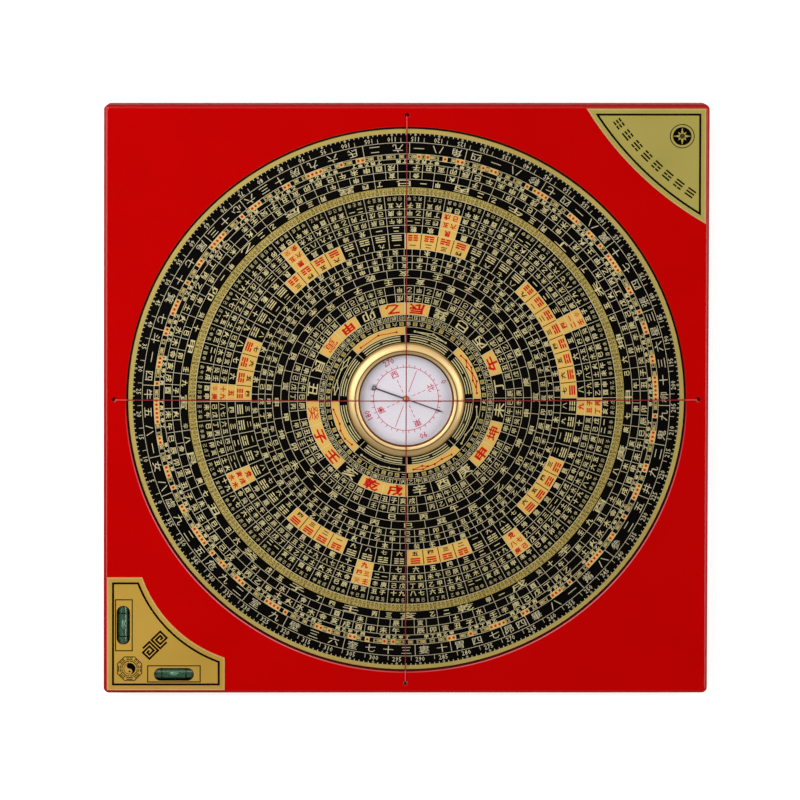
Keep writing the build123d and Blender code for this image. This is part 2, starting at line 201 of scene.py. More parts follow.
class Effects:
    """The shader node groups that the finishes share. Each is built once and placed with its own values."""

    made: dict[str, bpy.types.NodeTree] = {}
    stretches = {Grain.FINE: (1, 1, 1), Grain.BRUSHED: (1 / 12, 1, 1), Grain.FIBRE: (1 / 4, 1, 1)}
    fibre_across = (1, 1 / 4, 1)
    shade_scale = 38.0
    ring_softness = 0.1
    scuff_scale = 900.0
    scuff_range = (0.45, 0.7)
    scuff_least = 0.8

    @classmethod
    def start(cls, name: str, inputs: dict[str, float], outputs: tuple[str, ...]) -> tuple:
        """Opens a new group.

        Args:
            name: the group's name.
            inputs: its float inputs and what they start at.
            outputs: its float outputs.

        Returns:
            The group's graph, its input node's outputs and its output node.
        """
        tree = bpy.data.node_groups.new(name, "ShaderNodeTree")
        for title, value in inputs.items():
            socket = tree.interface.new_socket(name=title, in_out="INPUT", socket_type="NodeSocketFloat")
            socket.default_value = value
        for title in outputs:
            tree.interface.new_socket(name=title, in_out="OUTPUT", socket_type="NodeSocketFloat")
        cls.made[name] = tree
        graph = Graph(tree)
        return graph, graph.add("NodeGroupInput").outputs, graph.add("NodeGroupOutput")

    @staticmethod
    def noise(graph: Graph, place: Socket, scale: object, detail: float, roughness: float = 0.5) -> Socket:
        """A noise from 0 to 1 at a place."""
        return graph.add("ShaderNodeTexNoise", Vector=place, Scale=scale, Detail=detail,
                         Roughness=roughness).outputs[0]

    @classmethod
    def grain(cls, kind: Grain) -> bpy.types.NodeTree:
        """The group for one kind of grain: a fine height and a broad, slow shade, both from 0 to 1.

        Fine grain is noise of the object's own coordinates p times Scale. Brushed grain is noise of
        (x / 12, y, z) times Scale. Turned grain is noise of the distance from the Z axis and of the height,
        times Scale. Fibre grain adds a second noise stretched the other way.

        Args:
            kind: how the grain runs.

        Returns:
            The group, with the input Scale (per metre) and the outputs Height and Shade.
        """
        if kind.value in cls.made:
            return cls.made[kind.value]
        graph, given, result = cls.start(kind.value, {"Scale": 1000.0}, ("Height", "Shade"))
        place = graph.add("ShaderNodeTexCoord").outputs["Object"]
        if kind is Grain.TURNED:
            along = graph.add("ShaderNodeCombineXYZ", X=graph.from_axis(), Z=graph.place()[2])
        else:
            along = graph.add("ShaderNodeMapping", Vector=place, Scale=cls.stretches[kind])
        height = cls.noise(graph, along.outputs[0], given["Scale"], 3.0, 0.6)
        if kind is Grain.FIBRE:
            across = graph.add("ShaderNodeMapping", Vector=place, Scale=cls.fibre_across)
            height = graph.maths("MAXIMUM", height, cls.noise(graph, across.outputs[0], given["Scale"], 2.0))
        graph.set(result, Height=height, Shade=cls.noise(graph, place, cls.shade_scale, 2.0))
        return cls.made[kind.value]

    @classmethod
    def ring(cls) -> bpy.types.NodeTree:
        """The group for a soft ring about the Z axis.

        With r = sqrt(x^2 + y^2), the mask is Strength between Inner and Outer and falls to 0 over the
        ring's softness beyond both.

        Returns:
            The group, with the inputs Inner, Outer (metres) and Strength and the output Mask.
        """
        if "soft_ring" not in cls.made:
            graph, given, result = cls.start("soft_ring", {"Inner": 0.01, "Outer": 0.02, "Strength": 1.0},
                                             ("Mask",))
            away = graph.from_axis()
            inside = graph.maths("SUBTRACT", away, given["Inner"])
            outside = graph.maths("SUBTRACT", given["Outer"], away)
            edge = graph.product(graph.maths("MINIMUM", inside, outside), 1.0 / (cls.ring_softness * MM))
            soft = graph.maths("ADD", edge, 1.0, clamp=True)
            graph.set(result, Mask=graph.product(soft, given["Strength"]))
        return cls.made["soft_ring"]

    @classmethod
    def ring_mask(cls, graph: Graph, inner: float, outer: float, strength: float = 1.0) -> Socket:
        """The mask of a soft ring between two radii in millimetres, placed in a material."""
        return graph.add("ShaderNodeGroup", node_tree=cls.ring(), Inner=inner * MM, Outer=outer * MM,
                         Strength=strength).outputs["Mask"]

    @classmethod
    def wear(cls) -> bpy.types.NodeTree:
        """The group for a square board's edges, duller and in painted shade: Mask is 1 on them and falls to 0
        over Width inwards.

        The sides lean in by Lean from the height Top down to 0. So with h = Half - Lean (1 - z / Top), which is
        half the side, and d = h - max(|x|, |y|), mask = clamp(1 - d / Width) times a scuffed noise.

        Returns:
            The group, with the inputs Half, Width, Lean and Top (metres) and the output Mask.
        """
        if "edge_wear_and_shade" not in cls.made:
            sizes = {"Half": 0.1, "Width": 0.001, "Lean": 0.0, "Top": 0.01}
            graph, given, result = cls.start("edge_wear_and_shade", sizes, ("Mask",))
            x, y, z = graph.place()
            reach = graph.maths("MAXIMUM", graph.maths("ABSOLUTE", x), graph.maths("ABSOLUTE", y))
            depth = graph.maths("SUBTRACT", 1.0, graph.maths("DIVIDE", z, given["Top"]))
            half = graph.maths("SUBTRACT", given["Half"], graph.product(depth, given["Lean"]))
            away = graph.maths("DIVIDE", graph.maths("SUBTRACT", half, reach), given["Width"])
            band = graph.maths("SUBTRACT", 1.0, away, clamp=True)
            place = graph.add("ShaderNodeTexCoord").outputs["Object"]
            scuff = graph.spread(cls.noise(graph, place, cls.scuff_scale, 4.0, 0.7), cls.scuff_least, 1.0,
                                 *cls.scuff_range)
            graph.set(result, Mask=graph.product(band, scuff))
        return cls.made["edge_wear_and_shade"]


@dataclass(frozen=True)
class Coating:
    """What every finish has: the material's name and its main linear colour."""

    name: str
    colour: Colour

    def material(self) -> bpy.types.Material:
        """Builds the material once and returns it afterwards.

        Returns:
            The Blender material.
        """
        made = bpy.data.materials.get(self.name)
        if made is None:
            made = bpy.data.materials.new(self.name)
            made.use_nodes = True
            self.fill(Graph(made.node_tree), made.node_tree.nodes["Principled BSDF"])
        return made

    def fill(self, graph: Graph, shader: bpy.types.Node) -> None:
        """Sets the shader and its nodes; each kind of finish has its own way.

        Args:
            graph: the material's graph.
            shader: the Principled node.
        """
        raise NotImplementedError


@dataclass(frozen=True)
class Finish(Coating):
    """An opaque finish: two near colours that a slow shade mixes, with a fine grain in roughness and relief.

    Args:
        second: linear colour where the shade is 1; the main colour is where it is 0.
        roughness: lowest and highest roughness, which the grain spreads between.
        scale: features of the grain per metre.
        relief: height of the grain in millimetres.
        coat: weight of a clear coat.
        sheen: weight of a soft sheen, for felt and thread.
        shine: the specular level, 0.5 for a common plastic.
        shade_range: the part of the slow shade over which one colour turns into the other.

    The methods after fill give the shader its inputs, and each special finish changes some of them.
    """

    second: Colour
    roughness: tuple[float, float]
    grain: Grain = Grain.FINE
    scale: float = 3000.0
    relief: float = 0.002
    metallic: float = 0.0
    coat: float = 0.0
    coat_roughness: float = 0.06
    sheen: float = 0.0
    shine: float = 0.5
    shade_range: tuple[float, float] = (0.3, 0.7)

    def fill(self, graph: Graph, shader: bpy.types.Node) -> None:
        """Sets the shader's constants and joins the grain to it."""
        grain = graph.add("ShaderNodeGroup", node_tree=Effects.grain(self.grain), Scale=self.scale).outputs
        bump = graph.add("ShaderNodeBump", Distance=self.relief * MM, Height=self.height(graph, grain))
        graph.set(shader, Metallic=self.metallic, Coat_Weight=self.coat, Coat_Roughness=self.coat_roughness,
                  Sheen_Weight=self.sheen, Specular_IOR_Level=self.shine, Base_Color=self.tint(graph, grain),
                  Roughness=self.dullness(graph, grain), Normal=bump.outputs[0])

    def tint(self, graph: Graph, grain: bpy.types.NodeOutputs) -> Socket:
        """Mixes the two colours and what lies over them.

        Args:
            graph: the material's graph.
            grain: the outputs of the placed grain group.

        Returns:
            The colour's socket.
        """
        colour = graph.mixed(self.blend(graph, grain), self.colour, self.second)
        for mask, over in self.overlays(graph):
            colour = graph.mixed(mask, colour, over)
        return colour

    def blend(self, graph: Graph, grain: bpy.types.NodeOutputs) -> Socket:
        """The share of the second colour."""
        return graph.spread(grain["Shade"], 0.0, 1.0, *self.shade_range)

    def overlays(self, graph: Graph) -> list[tuple[Socket, Colour]]:
        """Masks and the colours that lie over both others there, from the lowest up."""
        return []

    def dullness(self, graph: Graph, grain: bpy.types.NodeOutputs) -> Socket:
        """The roughness, spread by the grain's height."""
        return graph.spread(grain["Height"], *self.roughness)

    def height(self, graph: Graph, grain: bpy.types.NodeOutputs) -> Socket:
        """The relief's height, from 0 to 1."""
        return grain["Height"]


@dataclass(frozen=True)
class Lacquer(Finish):
    """The board's lacquer: duller along its edges, with painted shade there and in the levels' pockets, and a
    painted highlight round the recess.

    Args:
        half: half the board's side in millimetres, as are the next three.
        top: the board's height.
        lean: how far its sides lean in.
        edge_width: how far the duller edge with its painted shade reaches inwards.
        pockets: each pocket's middle and half size across in millimetres.
        pocket_heights: heights in millimetres between which a pocket is darkened to black as painted shade.
        recess_dark: linear colour of the recess's edge, which the dial's gap shades.
        dark_ring: inner and outer radius of that edge in millimetres.
        recess_pale: linear colour of the painted highlight on the recess's edge.
        worn_ring: inner and outer radius of that highlight.
        recess_low: height over which both rings show, so that they stay off the back.
    """

    half: float = 108.75
    top: float = 9.5
    lean: float = 1.5
    edge_width: float = 1.2
    # painted shade: the edges' colour is darkened where their rounding turns away from the light
    handled: Colour = (0.25, 0.001, 0.002)
    edge_roughness: float = 0.3
    # painted shade: the pockets that hold the levels are darkened to near black
    pocket_black: Colour = (0.006, 0.008, 0.006)
    pockets: tuple[tuple[float, float, float, float], ...] = ()
    pocket_heights: tuple[float, float] = (1.0, 9.45)
    recess_dark: Colour = (0.035, 0.0006, 0.0006)
    dark_ring: tuple[float, float] = (99.0, 100.7)
    # painted highlight: a pale line on the recess's edge, strongest at the front and the sides
    recess_pale: Colour = (0.75, 0.3, 0.34)
    worn_ring: tuple[float, float] = (100.85, 101.05)
    recess_low: float = 9.0
    worn_strength: float = 0.7
    worn_middle: float = 0.25
    worn_sides: float = 1.3

    def fill(self, graph: Graph, shader: bpy.types.Node) -> None:
        """Sets the shader, with no coat along the edges."""
        super().fill(graph, shader)
        graph.set(shader, Coat_Weight=graph.spread(self.along_edges(graph), self.coat, 0.0))

    def overlays(self, graph: Graph) -> list[tuple[Socket, Colour]]:
        """The edges' painted shade, the painted highlight round the recess, the recess's shaded edge and the
        pockets' painted shade.
        """
        return [(self.along_edges(graph), self.handled), (self.worn_line(graph), self.recess_pale),
                (self.round_recess(graph, self.dark_ring), self.recess_dark),
                (self.in_pockets(graph), self.pocket_black)]

    def dullness(self, graph: Graph, grain: bpy.types.NodeOutputs) -> Socket:
        """The roughness, higher along the edges."""
        more = graph.product(self.along_edges(graph), self.edge_roughness)
        return graph.maths("ADD", super().dullness(graph, grain), more)

    def along_edges(self, graph: Graph) -> Socket:
        """The mask of the board's edges."""
        return graph.add("ShaderNodeGroup", node_tree=Effects.wear(), Half=self.half * MM, Top=self.top * MM,
                         Width=self.edge_width * MM, Lean=self.lean * MM).outputs["Mask"]

    def round_recess(self, graph: Graph, ring: tuple[float, float]) -> Socket:
        """The mask of a ring round the recess, over the lowest height where it shows."""
        shown = graph.maths("GREATER_THAN", graph.place()[2], self.recess_low * MM)
        return graph.product(Effects.ring_mask(graph, *ring), shown)

    def worn_line(self, graph: Graph) -> Socket:
        """The painted highlight's mask: its ring times strength clamp(-y / r) (middle + sides |x| / r)."""
        x, y, _ = graph.place()
        radius = self.worn_ring[0] * MM
        near = graph.maths("MULTIPLY", y, -1.0 / radius, clamp=True)
        sideways = graph.product(graph.maths("ABSOLUTE", x), self.worn_sides / radius)
        highlight_share = graph.product(near, graph.maths("ADD", sideways, self.worn_middle), self.worn_strength)
        return graph.product(self.round_recess(graph, self.worn_ring), highlight_share)

    def in_pockets(self, graph: Graph) -> Socket:
        """The mask of the pockets: 1 where |x - X| < A and |y - Y| < B for one of them, at their heights."""
        x, y, z = graph.place()
        low, high = (height * MM for height in self.pocket_heights)
        level = graph.product(graph.maths("GREATER_THAN", z, low), graph.maths("LESS_THAN", z, high))
        mask = 0.0
        for middle_x, middle_y, half_x, half_y in self.pockets:
            inside = level
            for axis, middle, half in ((x, middle_x, half_x), (y, middle_y, half_y)):
                away = graph.maths("ABSOLUTE", graph.maths("SUBTRACT", axis, middle * MM))
                inside = graph.product(inside, graph.maths("LESS_THAN", away, half * MM))
            mask = graph.maths("MAXIMUM", inside, mask)
        return mask


@dataclass(frozen=True)
class RingedMetal(Finish):
    """A turned metal with darker rings of painted shade: the bezel's steep inner wall, its groove and its outer
    edge.

    Args:
        patina: linear colour of the painted shade in the rings.
        rings: each ring's inner and outer radius in millimetres and its strength.
    """

    patina: Colour = (0.1, 0.05, 0.02)
    rings: tuple[tuple[float, float, float], ...] = ()

    def overlays(self, graph: Graph) -> list[tuple[Socket, Colour]]:
        """The painted shade in each ring."""
        return [(Effects.ring_mask(graph, *ring), self.patina) for ring in self.rings]


@dataclass(frozen=True)
class Twist(Finish):
    """A spun thread's finish: slanted plies in colour and relief, brighter where it lies over the board.

    Args:
        pitch: length of one ply's stripe in millimetres.
        fresh: linear colour of the ends, brighter where they lie over the board.
        fresh_ring: from and to which distance from the dial's axis in millimetres they lie.
    """

    pitch: float = 0.5
    fresh: Colour = (0.75, 0.05, 0.05)
    fresh_ring: tuple[float, float] = (100.2, 1000.0)

    def blend(self, graph: Graph, grain: bpy.types.NodeOutputs) -> Socket:
        """The second colour lies between the plies."""
        return graph.maths("SUBTRACT", 1.0, self.height(graph, grain))

    def overlays(self, graph: Graph) -> list[tuple[Socket, Colour]]:
        """The brighter ends over the board."""
        return [(Effects.ring_mask(graph, *self.fresh_ring), self.fresh)]

    def height(self, graph: Graph, grain: bpy.types.NodeOutputs) -> Socket:
        """The plies as slanted bands: (1 + sin(2 pi (x + y + z) / pitch)) / 2."""
        x, y, z = graph.place()
        along = graph.maths("ADD", graph.maths("ADD", x, y), z)
        wave = graph.maths("SINE", graph.product(along, TWO_PI / (self.pitch * MM)))
        return graph.maths("ADD", graph.product(wave, 0.5), 0.5)


@dataclass(frozen=True)
class ClearFinish(Coating):
    """Glass or liquid that lets lamps through to what lies under it. Its colour is that of what passes through.

    Args:
        tint: linear colour of the light that a lamp sends through.
        clearness: the transmission weight, less than 1 for a cloudy liquid.
    """

    ior: float
    tint: Colour
    roughness: tuple[float, float] = (0.0, 0.03)
    clearness: float = 1.0
    scale: float = 400.0

    def fill(self, graph: Graph, shader: bpy.types.Node) -> None:
        """Sets the shader, and makes it transparent for shadow and diffuse rays."""
        grain = graph.add("ShaderNodeGroup", node_tree=Effects.grain(Grain.FINE), Scale=self.scale).outputs
        graph.set(shader, Base_Color=(*self.colour, 1), Transmission_Weight=self.clearness, IOR=self.ior,
                  Roughness=graph.spread(grain["Height"], *self.roughness))
        path = graph.add("ShaderNodeLightPath").outputs
        clear = graph.add("ShaderNodeBsdfTransparent", Color=(*self.tint, 1))
        mix = graph.add("ShaderNodeMixShader")
        passing = graph.maths("MAXIMUM", path["Is Shadow Ray"], path["Is Diffuse Ray"])
        for socket, value in zip(mix.inputs, (passing, shader.outputs[0], clear.outputs[0])):
            graph.feed(socket, value)
        graph.set(graph.tree.nodes["Material Output"], Surface=mix.outputs[0])


@dataclass(frozen=True)
class FloorFinish(Coating):
    """A pale matt floor, lifted to white where it is seen directly, in gloss or through glass."""

    roughness: float = 0.9
    lift: float = 0.55

    def fill(self, graph: Graph, shader: bpy.types.Node) -> None:
        """Sets the shader, which glows for camera, glossy and transmitted rays only."""
        path = graph.add("ShaderNodeLightPath").outputs
        seen = graph.maths("MAXIMUM", path["Is Camera Ray"], path["Is Glossy Ray"])
        seen = graph.maths("MAXIMUM", seen, path["Is Transmission Ray"])
        graph.set(shader, Base_Color=(*self.colour, 1), Roughness=self.roughness, Specular_IOR_Level=0.0,
                  Emission_Color=(1, 1, 1, 1), Emission_Strength=graph.product(seen, self.lift))


# Finishes of the pieces
LACQUER = Lacquer("red_lacquer", (0.47, 0.0006, 0.0006), (0.44, 0.0005, 0.0005), (0.1, 0.15), scale=1400.0,
                  relief=0.0008, coat=0.8, shine=0.0,
                  pockets=((-83.4, -101.65, 8.2, 2.9), (-101.65, -83.4, 2.9, 8.2)))
LEVEL_GOLD = Finish("warm_gold_plate", (0.65, 0.4, 0.062), (0.57, 0.35, 0.05), (0.4, 0.52), Grain.BRUSHED,
                    9000.0, 0.0012, metallic=0.6)
CORNER_GOLD = Finish("pale_gold_plate", (0.51, 0.43, 0.102), (0.45, 0.375, 0.085), (0.4, 0.52), Grain.BRUSHED,
                     9000.0, 0.0012, metallic=0.6)
# painted highlight: the pale line along the gold plates' rims, where their bevelled edges catch the light
EDGE_HIGHLIGHT = Finish("plate_edge_painted_highlight", (0.86, 0.52, 0.22), (0.8, 0.47, 0.19), (0.3, 0.4), Grain.FINE, 9000.0,
                   0.001, metallic=0.5)
GOLD_FACE = Finish("gold_dial_plate", (0.58, 0.45, 0.125), (0.51, 0.39, 0.1), (0.4, 0.52), Grain.FINE, 9000.0,
                   0.001, metallic=0.6)
# the bezel's darker rings are painted shade on its inner wall, groove and outer edge
BEZEL_BRASS = RingedMetal("satin_brass", (0.84, 0.61, 0.29), (0.8, 0.57, 0.26), (0.44, 0.52), Grain.TURNED,
                          9000.0, 0.0006, metallic=0.92, patina=(0.1, 0.028, 0.01),
                          rings=((16.0, 17.2, 0.97), (18.2, 18.62, 0.5), (20.7, 21.5, 0.5)))
BRASS = Finish("turned_brass", (0.72, 0.5, 0.19), (0.66, 0.45, 0.16), (0.28, 0.42), Grain.TURNED, 6000.0, 0.002,
               metallic=1.0)
STEEL = Finish("turned_steel", (0.56, 0.56, 0.56), (0.5, 0.5, 0.51), (0.26, 0.4), Grain.TURNED, 6000.0, 0.002,
               metallic=1.0)
DARK_STEEL = Finish("blued_steel", (0.11, 0.1, 0.11), (0.15, 0.14, 0.15), (0.35, 0.5), Grain.BRUSHED,
                    9000.0, 0.001, metallic=1.0)
FELT = Finish("black_felt", (0.02, 0.02, 0.02), (0.03, 0.028, 0.026), (0.9, 1.0), Grain.FIBRE, 5000.0, 0.12,
              sheen=0.4)
RESIN = Finish("dark_resin", (0.008, 0.006, 0.005), (0.012, 0.009, 0.008), (0.4, 0.55), Grain.FINE, 2500.0, 0.01,
               shine=0.2)
RUBBER = Finish("black_rubber", (0.02, 0.024, 0.02), (0.028, 0.03, 0.026), (0.6, 0.75), Grain.FINE, 3500.0, 0.01)
CARD = Finish("coated_card", (0.85, 0.79, 0.88), (0.83, 0.77, 0.86), (0.55, 0.7), Grain.FIBRE, 2600.0, 0.0005,
              shine=0.2)
JEWEL = Finish("ruby", (0.4, 0.03, 0.06), (0.32, 0.02, 0.05), (0.04, 0.1), Grain.FINE, 1500.0, 0.0005, coat=0.5)
CAP_ENAMEL = Finish("orange_red_enamel", (0.86, 0.12, 0.03), (0.8, 0.1, 0.025), (0.2, 0.3), Grain.FINE, 3000.0,
                    0.002, coat=0.3)
THREAD = Twist("red_thread", (0.27, 0.008, 0.011), (0.18, 0.005, 0.007), (0.5, 0.7), Grain.FIBRE, 6000.0, 0.03,
               shine=0.3)
BLACK_INK = Finish("black_ink", (0.0016, 0.0014, 0.0012), (0.0024, 0.0021, 0.0018), (0.3, 0.42), Grain.FINE,
                   5000.0, 0.001, shine=0.04)
PALE_PRINT = Finish("pale_print_gold", (0.68, 0.62, 0.4), (0.6, 0.54, 0.34), (0.4, 0.52), Grain.FINE, 9000.0,
                    0.001, metallic=0.5)
GOLD_PRINT = Finish("print_gold", (0.72, 0.63, 0.32), (0.62, 0.54, 0.26), (0.4, 0.52), Grain.FINE, 9000.0, 0.001,
                    metallic=0.5)
ORANGE_INK = Finish("orange_ink", (0.65, 0.41, 0.1), (0.58, 0.36, 0.085), (0.4, 0.5), Grain.FINE, 5000.0, 0.001,
                    shine=0.1)
RED_INK = Finish("red_ink", (0.5, 0.004, 0.003), (0.42, 0.003, 0.003), (0.4, 0.5), Grain.FINE, 5000.0, 0.001,
                 shine=0.1)
CARD_INK = Finish("card_red_ink", (0.66, 0.05, 0.1), (0.6, 0.045, 0.09), (0.5, 0.6), Grain.FINE, 5000.0, 0.001,
                  shine=0.1)
LENS = ClearFinish("clear_glass", (0.97, 0.985, 0.98), 1.5, (0.95, 0.955, 0.95))
VIAL = ClearFinish("vial_glass", (0.94, 0.97, 0.95), 1.47, (0.85, 0.9, 0.86), (0.08, 0.14))
LEVEL_LIQUID = ClearFinish("green_level_liquid", (0.06, 0.17, 0.1), 1.36, (0.2, 0.5, 0.3), (0.2, 0.3), 0.4)
# the bubble's pale green is a painted highlight, standing for the light along the level's tube
BUBBLE_WITH_HIGHLIGHT = Finish("bubble_with_painted_highlight", (0.11, 0.25, 0.16), (0.09, 0.22, 0.14), (0.1, 0.2), Grain.FINE, 2000.0, 0.0005,
                coat=0.5)
FLOOR = FloorFinish("pale_floor", (0.8, 0.8, 0.8))

NODE_FINISHES: dict[str, Coating] = {
    "outer_board": LACQUER,
    "glide_ring": FELT,
    "hub_bush": BRASS,
    "level_plate": LEVEL_GOLD,
    "corner_plate": CORNER_GOLD,
    "vial_glass_x": VIAL,
    "vial_glass_y": VIAL,
    "vial_liquid_x": LEVEL_LIQUID,
    "vial_liquid_y": LEVEL_LIQUID,
    "vial_plugs_x": RUBBER,
    "vial_plugs_y": RUBBER,
    "string_ew": THREAD,
    "string_ns": THREAD,
    "dial_disc": RESIN,
    "dial_plate": GOLD_FACE,
    "dial_spindle": BRASS,
    "spindle_screws": STEEL,
    "retaining_washer": STEEL,
    "retaining_screw": STEEL,
    "capsule_cup": BRASS,
    "compass_card": CARD,
    "glass_gasket": RUBBER,
    "lens_glass": LENS,
    "bezel_ring": BEZEL_BRASS,
    "pivot_boss": BRASS,
    "pivot_pin": STEEL,
    "needle_jewel": JEWEL,
    "needle_cap": CAP_ENAMEL,
    "needle_blade": DARK_STEEL,
}


# A triangle smaller than this, in square millimetres, is no face; a mitre is cut at this cosine
LEAST_AREA = 1e-9
LEAST_COSINE = 0.3


@dataclass
class Flat:
    """Flat triangles: places in the plane and, for each triangle, its three corners' numbers."""

    points: np.ndarray
    corners: np.ndarray

    def crossed(self) -> np.ndarray:
        """Twice each triangle's area, negative where its corners run clockwise."""
        first, second, third = (self.points[self.corners[:, corner]] for corner in range(3))
        (ax, ay), (bx, by) = (second - first).T, (third - first).T
        return ax * by - ay * bx

    def area(self) -> float:
        """The sum of the triangles' areas."""
        return float(np.abs(self.crossed()).sum() / 2)

    def upward(self) -> "Flat":
        """Turns the triangles that run clockwise and leaves out those without an area.

        Returns:
            The same shape with every face to +Z.
        """
        crossed = self.crossed()
        corners = np.where((crossed < 0)[:, None], self.corners[:, ::-1], self.corners)
        return Flat(self.points, corners[np.abs(crossed) > LEAST_AREA])

    def moved(self, place: tuple[float, float], turn: float = 0.0) -> "Flat":
        """Turns the shape counter-clockwise by an angle in degrees and puts its origin at a place."""
        c, s = np.cos(np.radians(turn)), np.sin(np.radians(turn))
        return Flat(self.points @ np.array([[c, s], [-s, c]]) + np.array(place), self.corners)


def joined(shapes: list[Flat]) -> Flat:
    """Puts shapes together in one."""
    starts = np.cumsum([0] + [len(s.points) for s in shapes[:-1]])
    return Flat(np.concatenate([s.points for s in shapes]),
                np.concatenate([s.corners + start for s, start in zip(shapes, starts)]))


def grid_corners(rows: int, columns: int) -> np.ndarray:
    """The triangles of a grid of points, row by row.

    Args:
        rows: points down the grid.
        columns: points across it.

    Returns:
        Two triangles for each square of the grid.
    """
    at = (np.arange(rows - 1)[:, None] * columns + np.arange(columns - 1)[None, :]).ravel()
    first = np.stack([at, at + 1, at + columns + 1], 1)
    second = np.stack([at, at + columns + 1, at + columns], 1)
    return np.concatenate([first, second])


def sectors(inner: float, outer: float, starts: np.ndarray, sweep: float | np.ndarray, steps: int = 2) -> Flat:
    """Ring sectors, the point (r sin t, r cos t) for r from inner to outer and t over each sector.

    Args:
        inner: inner radius.
        outer: outer radius.
        starts: the angle where each sector starts.
        sweep: how far each goes on clockwise.
        steps: divisions along the arc.

    Returns:
        The sectors' shape.
    """
    starts = np.atleast_1d(np.asarray(starts, float))
    share = np.linspace(0, 1, steps + 1)
    turn = np.radians(starts[:, None] + share[None, :] * np.broadcast_to(sweep, starts.shape)[:, None])
    radius = np.array([inner, outer])[None, :, None]
    points = np.stack([radius * np.sin(turn)[:, None, :], radius * np.cos(turn)[:, None, :]], -1)
    square = grid_corners(2, steps + 1)
    corners = square[None] + (np.arange(len(starts)) * 2 * (steps + 1))[:, None, None]
    return Flat(points.reshape(-1, 2), corners.reshape(-1, 3)).upward()


def full_ring(inner: float, outer: float, steps: int = 360) -> Flat:
    """A ring between two radii."""
    return sectors(inner, outer, [0.0], 360.0, steps)


def circle_line(radius: float, width: float, steps: int = 240) -> Flat:
    """A thin full ring, centred on a radius."""
    return full_ring(radius - width / 2, radius + width / 2, steps)


def spokes(inner: float, outer: float, turns: np.ndarray, width: float) -> Flat:
    """Straight radial lines between two radii."""
    return stamped(box_shape(width, outer - inner), (inner + outer) / 2, turns)


def box_shape(width: float, height: float, x: float = 0.0, y: float = 0.0) -> Flat:
    """A rectangle about a place."""
    points = np.array([(-1, -1), (1, -1), (1, 1), (-1, 1)]) * (width / 2, height / 2) + (x, y)
    return Flat(points, np.array([(0, 1, 2), (0, 2, 3)]))


def disc_shape(radius: float, x: float = 0.0, y: float = 0.0, steps: int = 16) -> Flat:
    """A filled circle about a place."""
    turn = np.linspace(0, TWO_PI, steps, endpoint=False)
    points = np.stack([radius * np.cos(turn) + x, radius * np.sin(turn) + y], 1)
    corners = np.stack([np.zeros(steps - 2, int), np.arange(1, steps - 1), np.arange(2, steps)], 1)
    return Flat(points, corners)


def stroke(path: np.ndarray, width: float, closed: bool = False) -> Flat:
    """A line of even width along a path: each point moves by half the width to both sides, mitred.

    Args:
        path: the path's points.
        width: the line's width.
        closed: whether the end joins the start.

    Returns:
        The line's shape.
    """
    path = np.asarray(path, float)
    way = np.diff(np.concatenate([path, path[:1]]) if closed else path, axis=0)
    way /= np.linalg.norm(way, axis=1)[:, None]
    before = np.roll(way, 1, 0) if closed else np.concatenate([way[:1], way])
    after = way if closed else np.concatenate([way, way[-1:]])
    side = before + after
    side /= np.linalg.norm(side, axis=1)[:, None]
    normal = np.stack([-side[:, 1], side[:, 0]], 1)
    reach = width / 2 / np.maximum((side * after).sum(1), LEAST_COSINE)
    points = np.stack([path + normal * reach[:, None], path - normal * reach[:, None]], 1)
    if closed:
        points = np.concatenate([points, points[:1]])
    return Flat(points.reshape(-1, 2), grid_corners(len(points), 2)).upward()


def stamped(shape: Flat, radius: float | np.ndarray, turns: np.ndarray, shift: float = 0.0) -> Flat:
    """Copies a shape round the dial with its top towards the centre.

    At the angle t the shape's up is (-sin t, -cos t) and its right is (-cos t, sin t), which keeps it
    readable from the middle of the dial.

    Args:
        shape: the shape about its own origin.
        radius: distance of its origin from the dial's axis.
        turns: the angles of the copies.
        shift: how far to its right each copy is moved along the arc.

    Returns:
        All copies as one shape.
    """
    turns = np.atleast_1d(np.asarray(turns, float))
    t = np.radians(turns) - shift / radius
    up = np.stack([-np.sin(t), -np.cos(t)], 1)
    right = np.stack([-np.cos(t), np.sin(t)], 1)
    middle = -up * np.broadcast_to(radius, t.shape)[:, None]
    points = middle[:, None] + shape.points[:, :1] * right[:, None] + shape.points[:, 1:] * up[:, None]
    corners = shape.corners[None] + (np.arange(len(t)) * len(shape.points))[:, None, None]
    return Flat(points.reshape(-1, 2), corners.reshape(-1, 3))


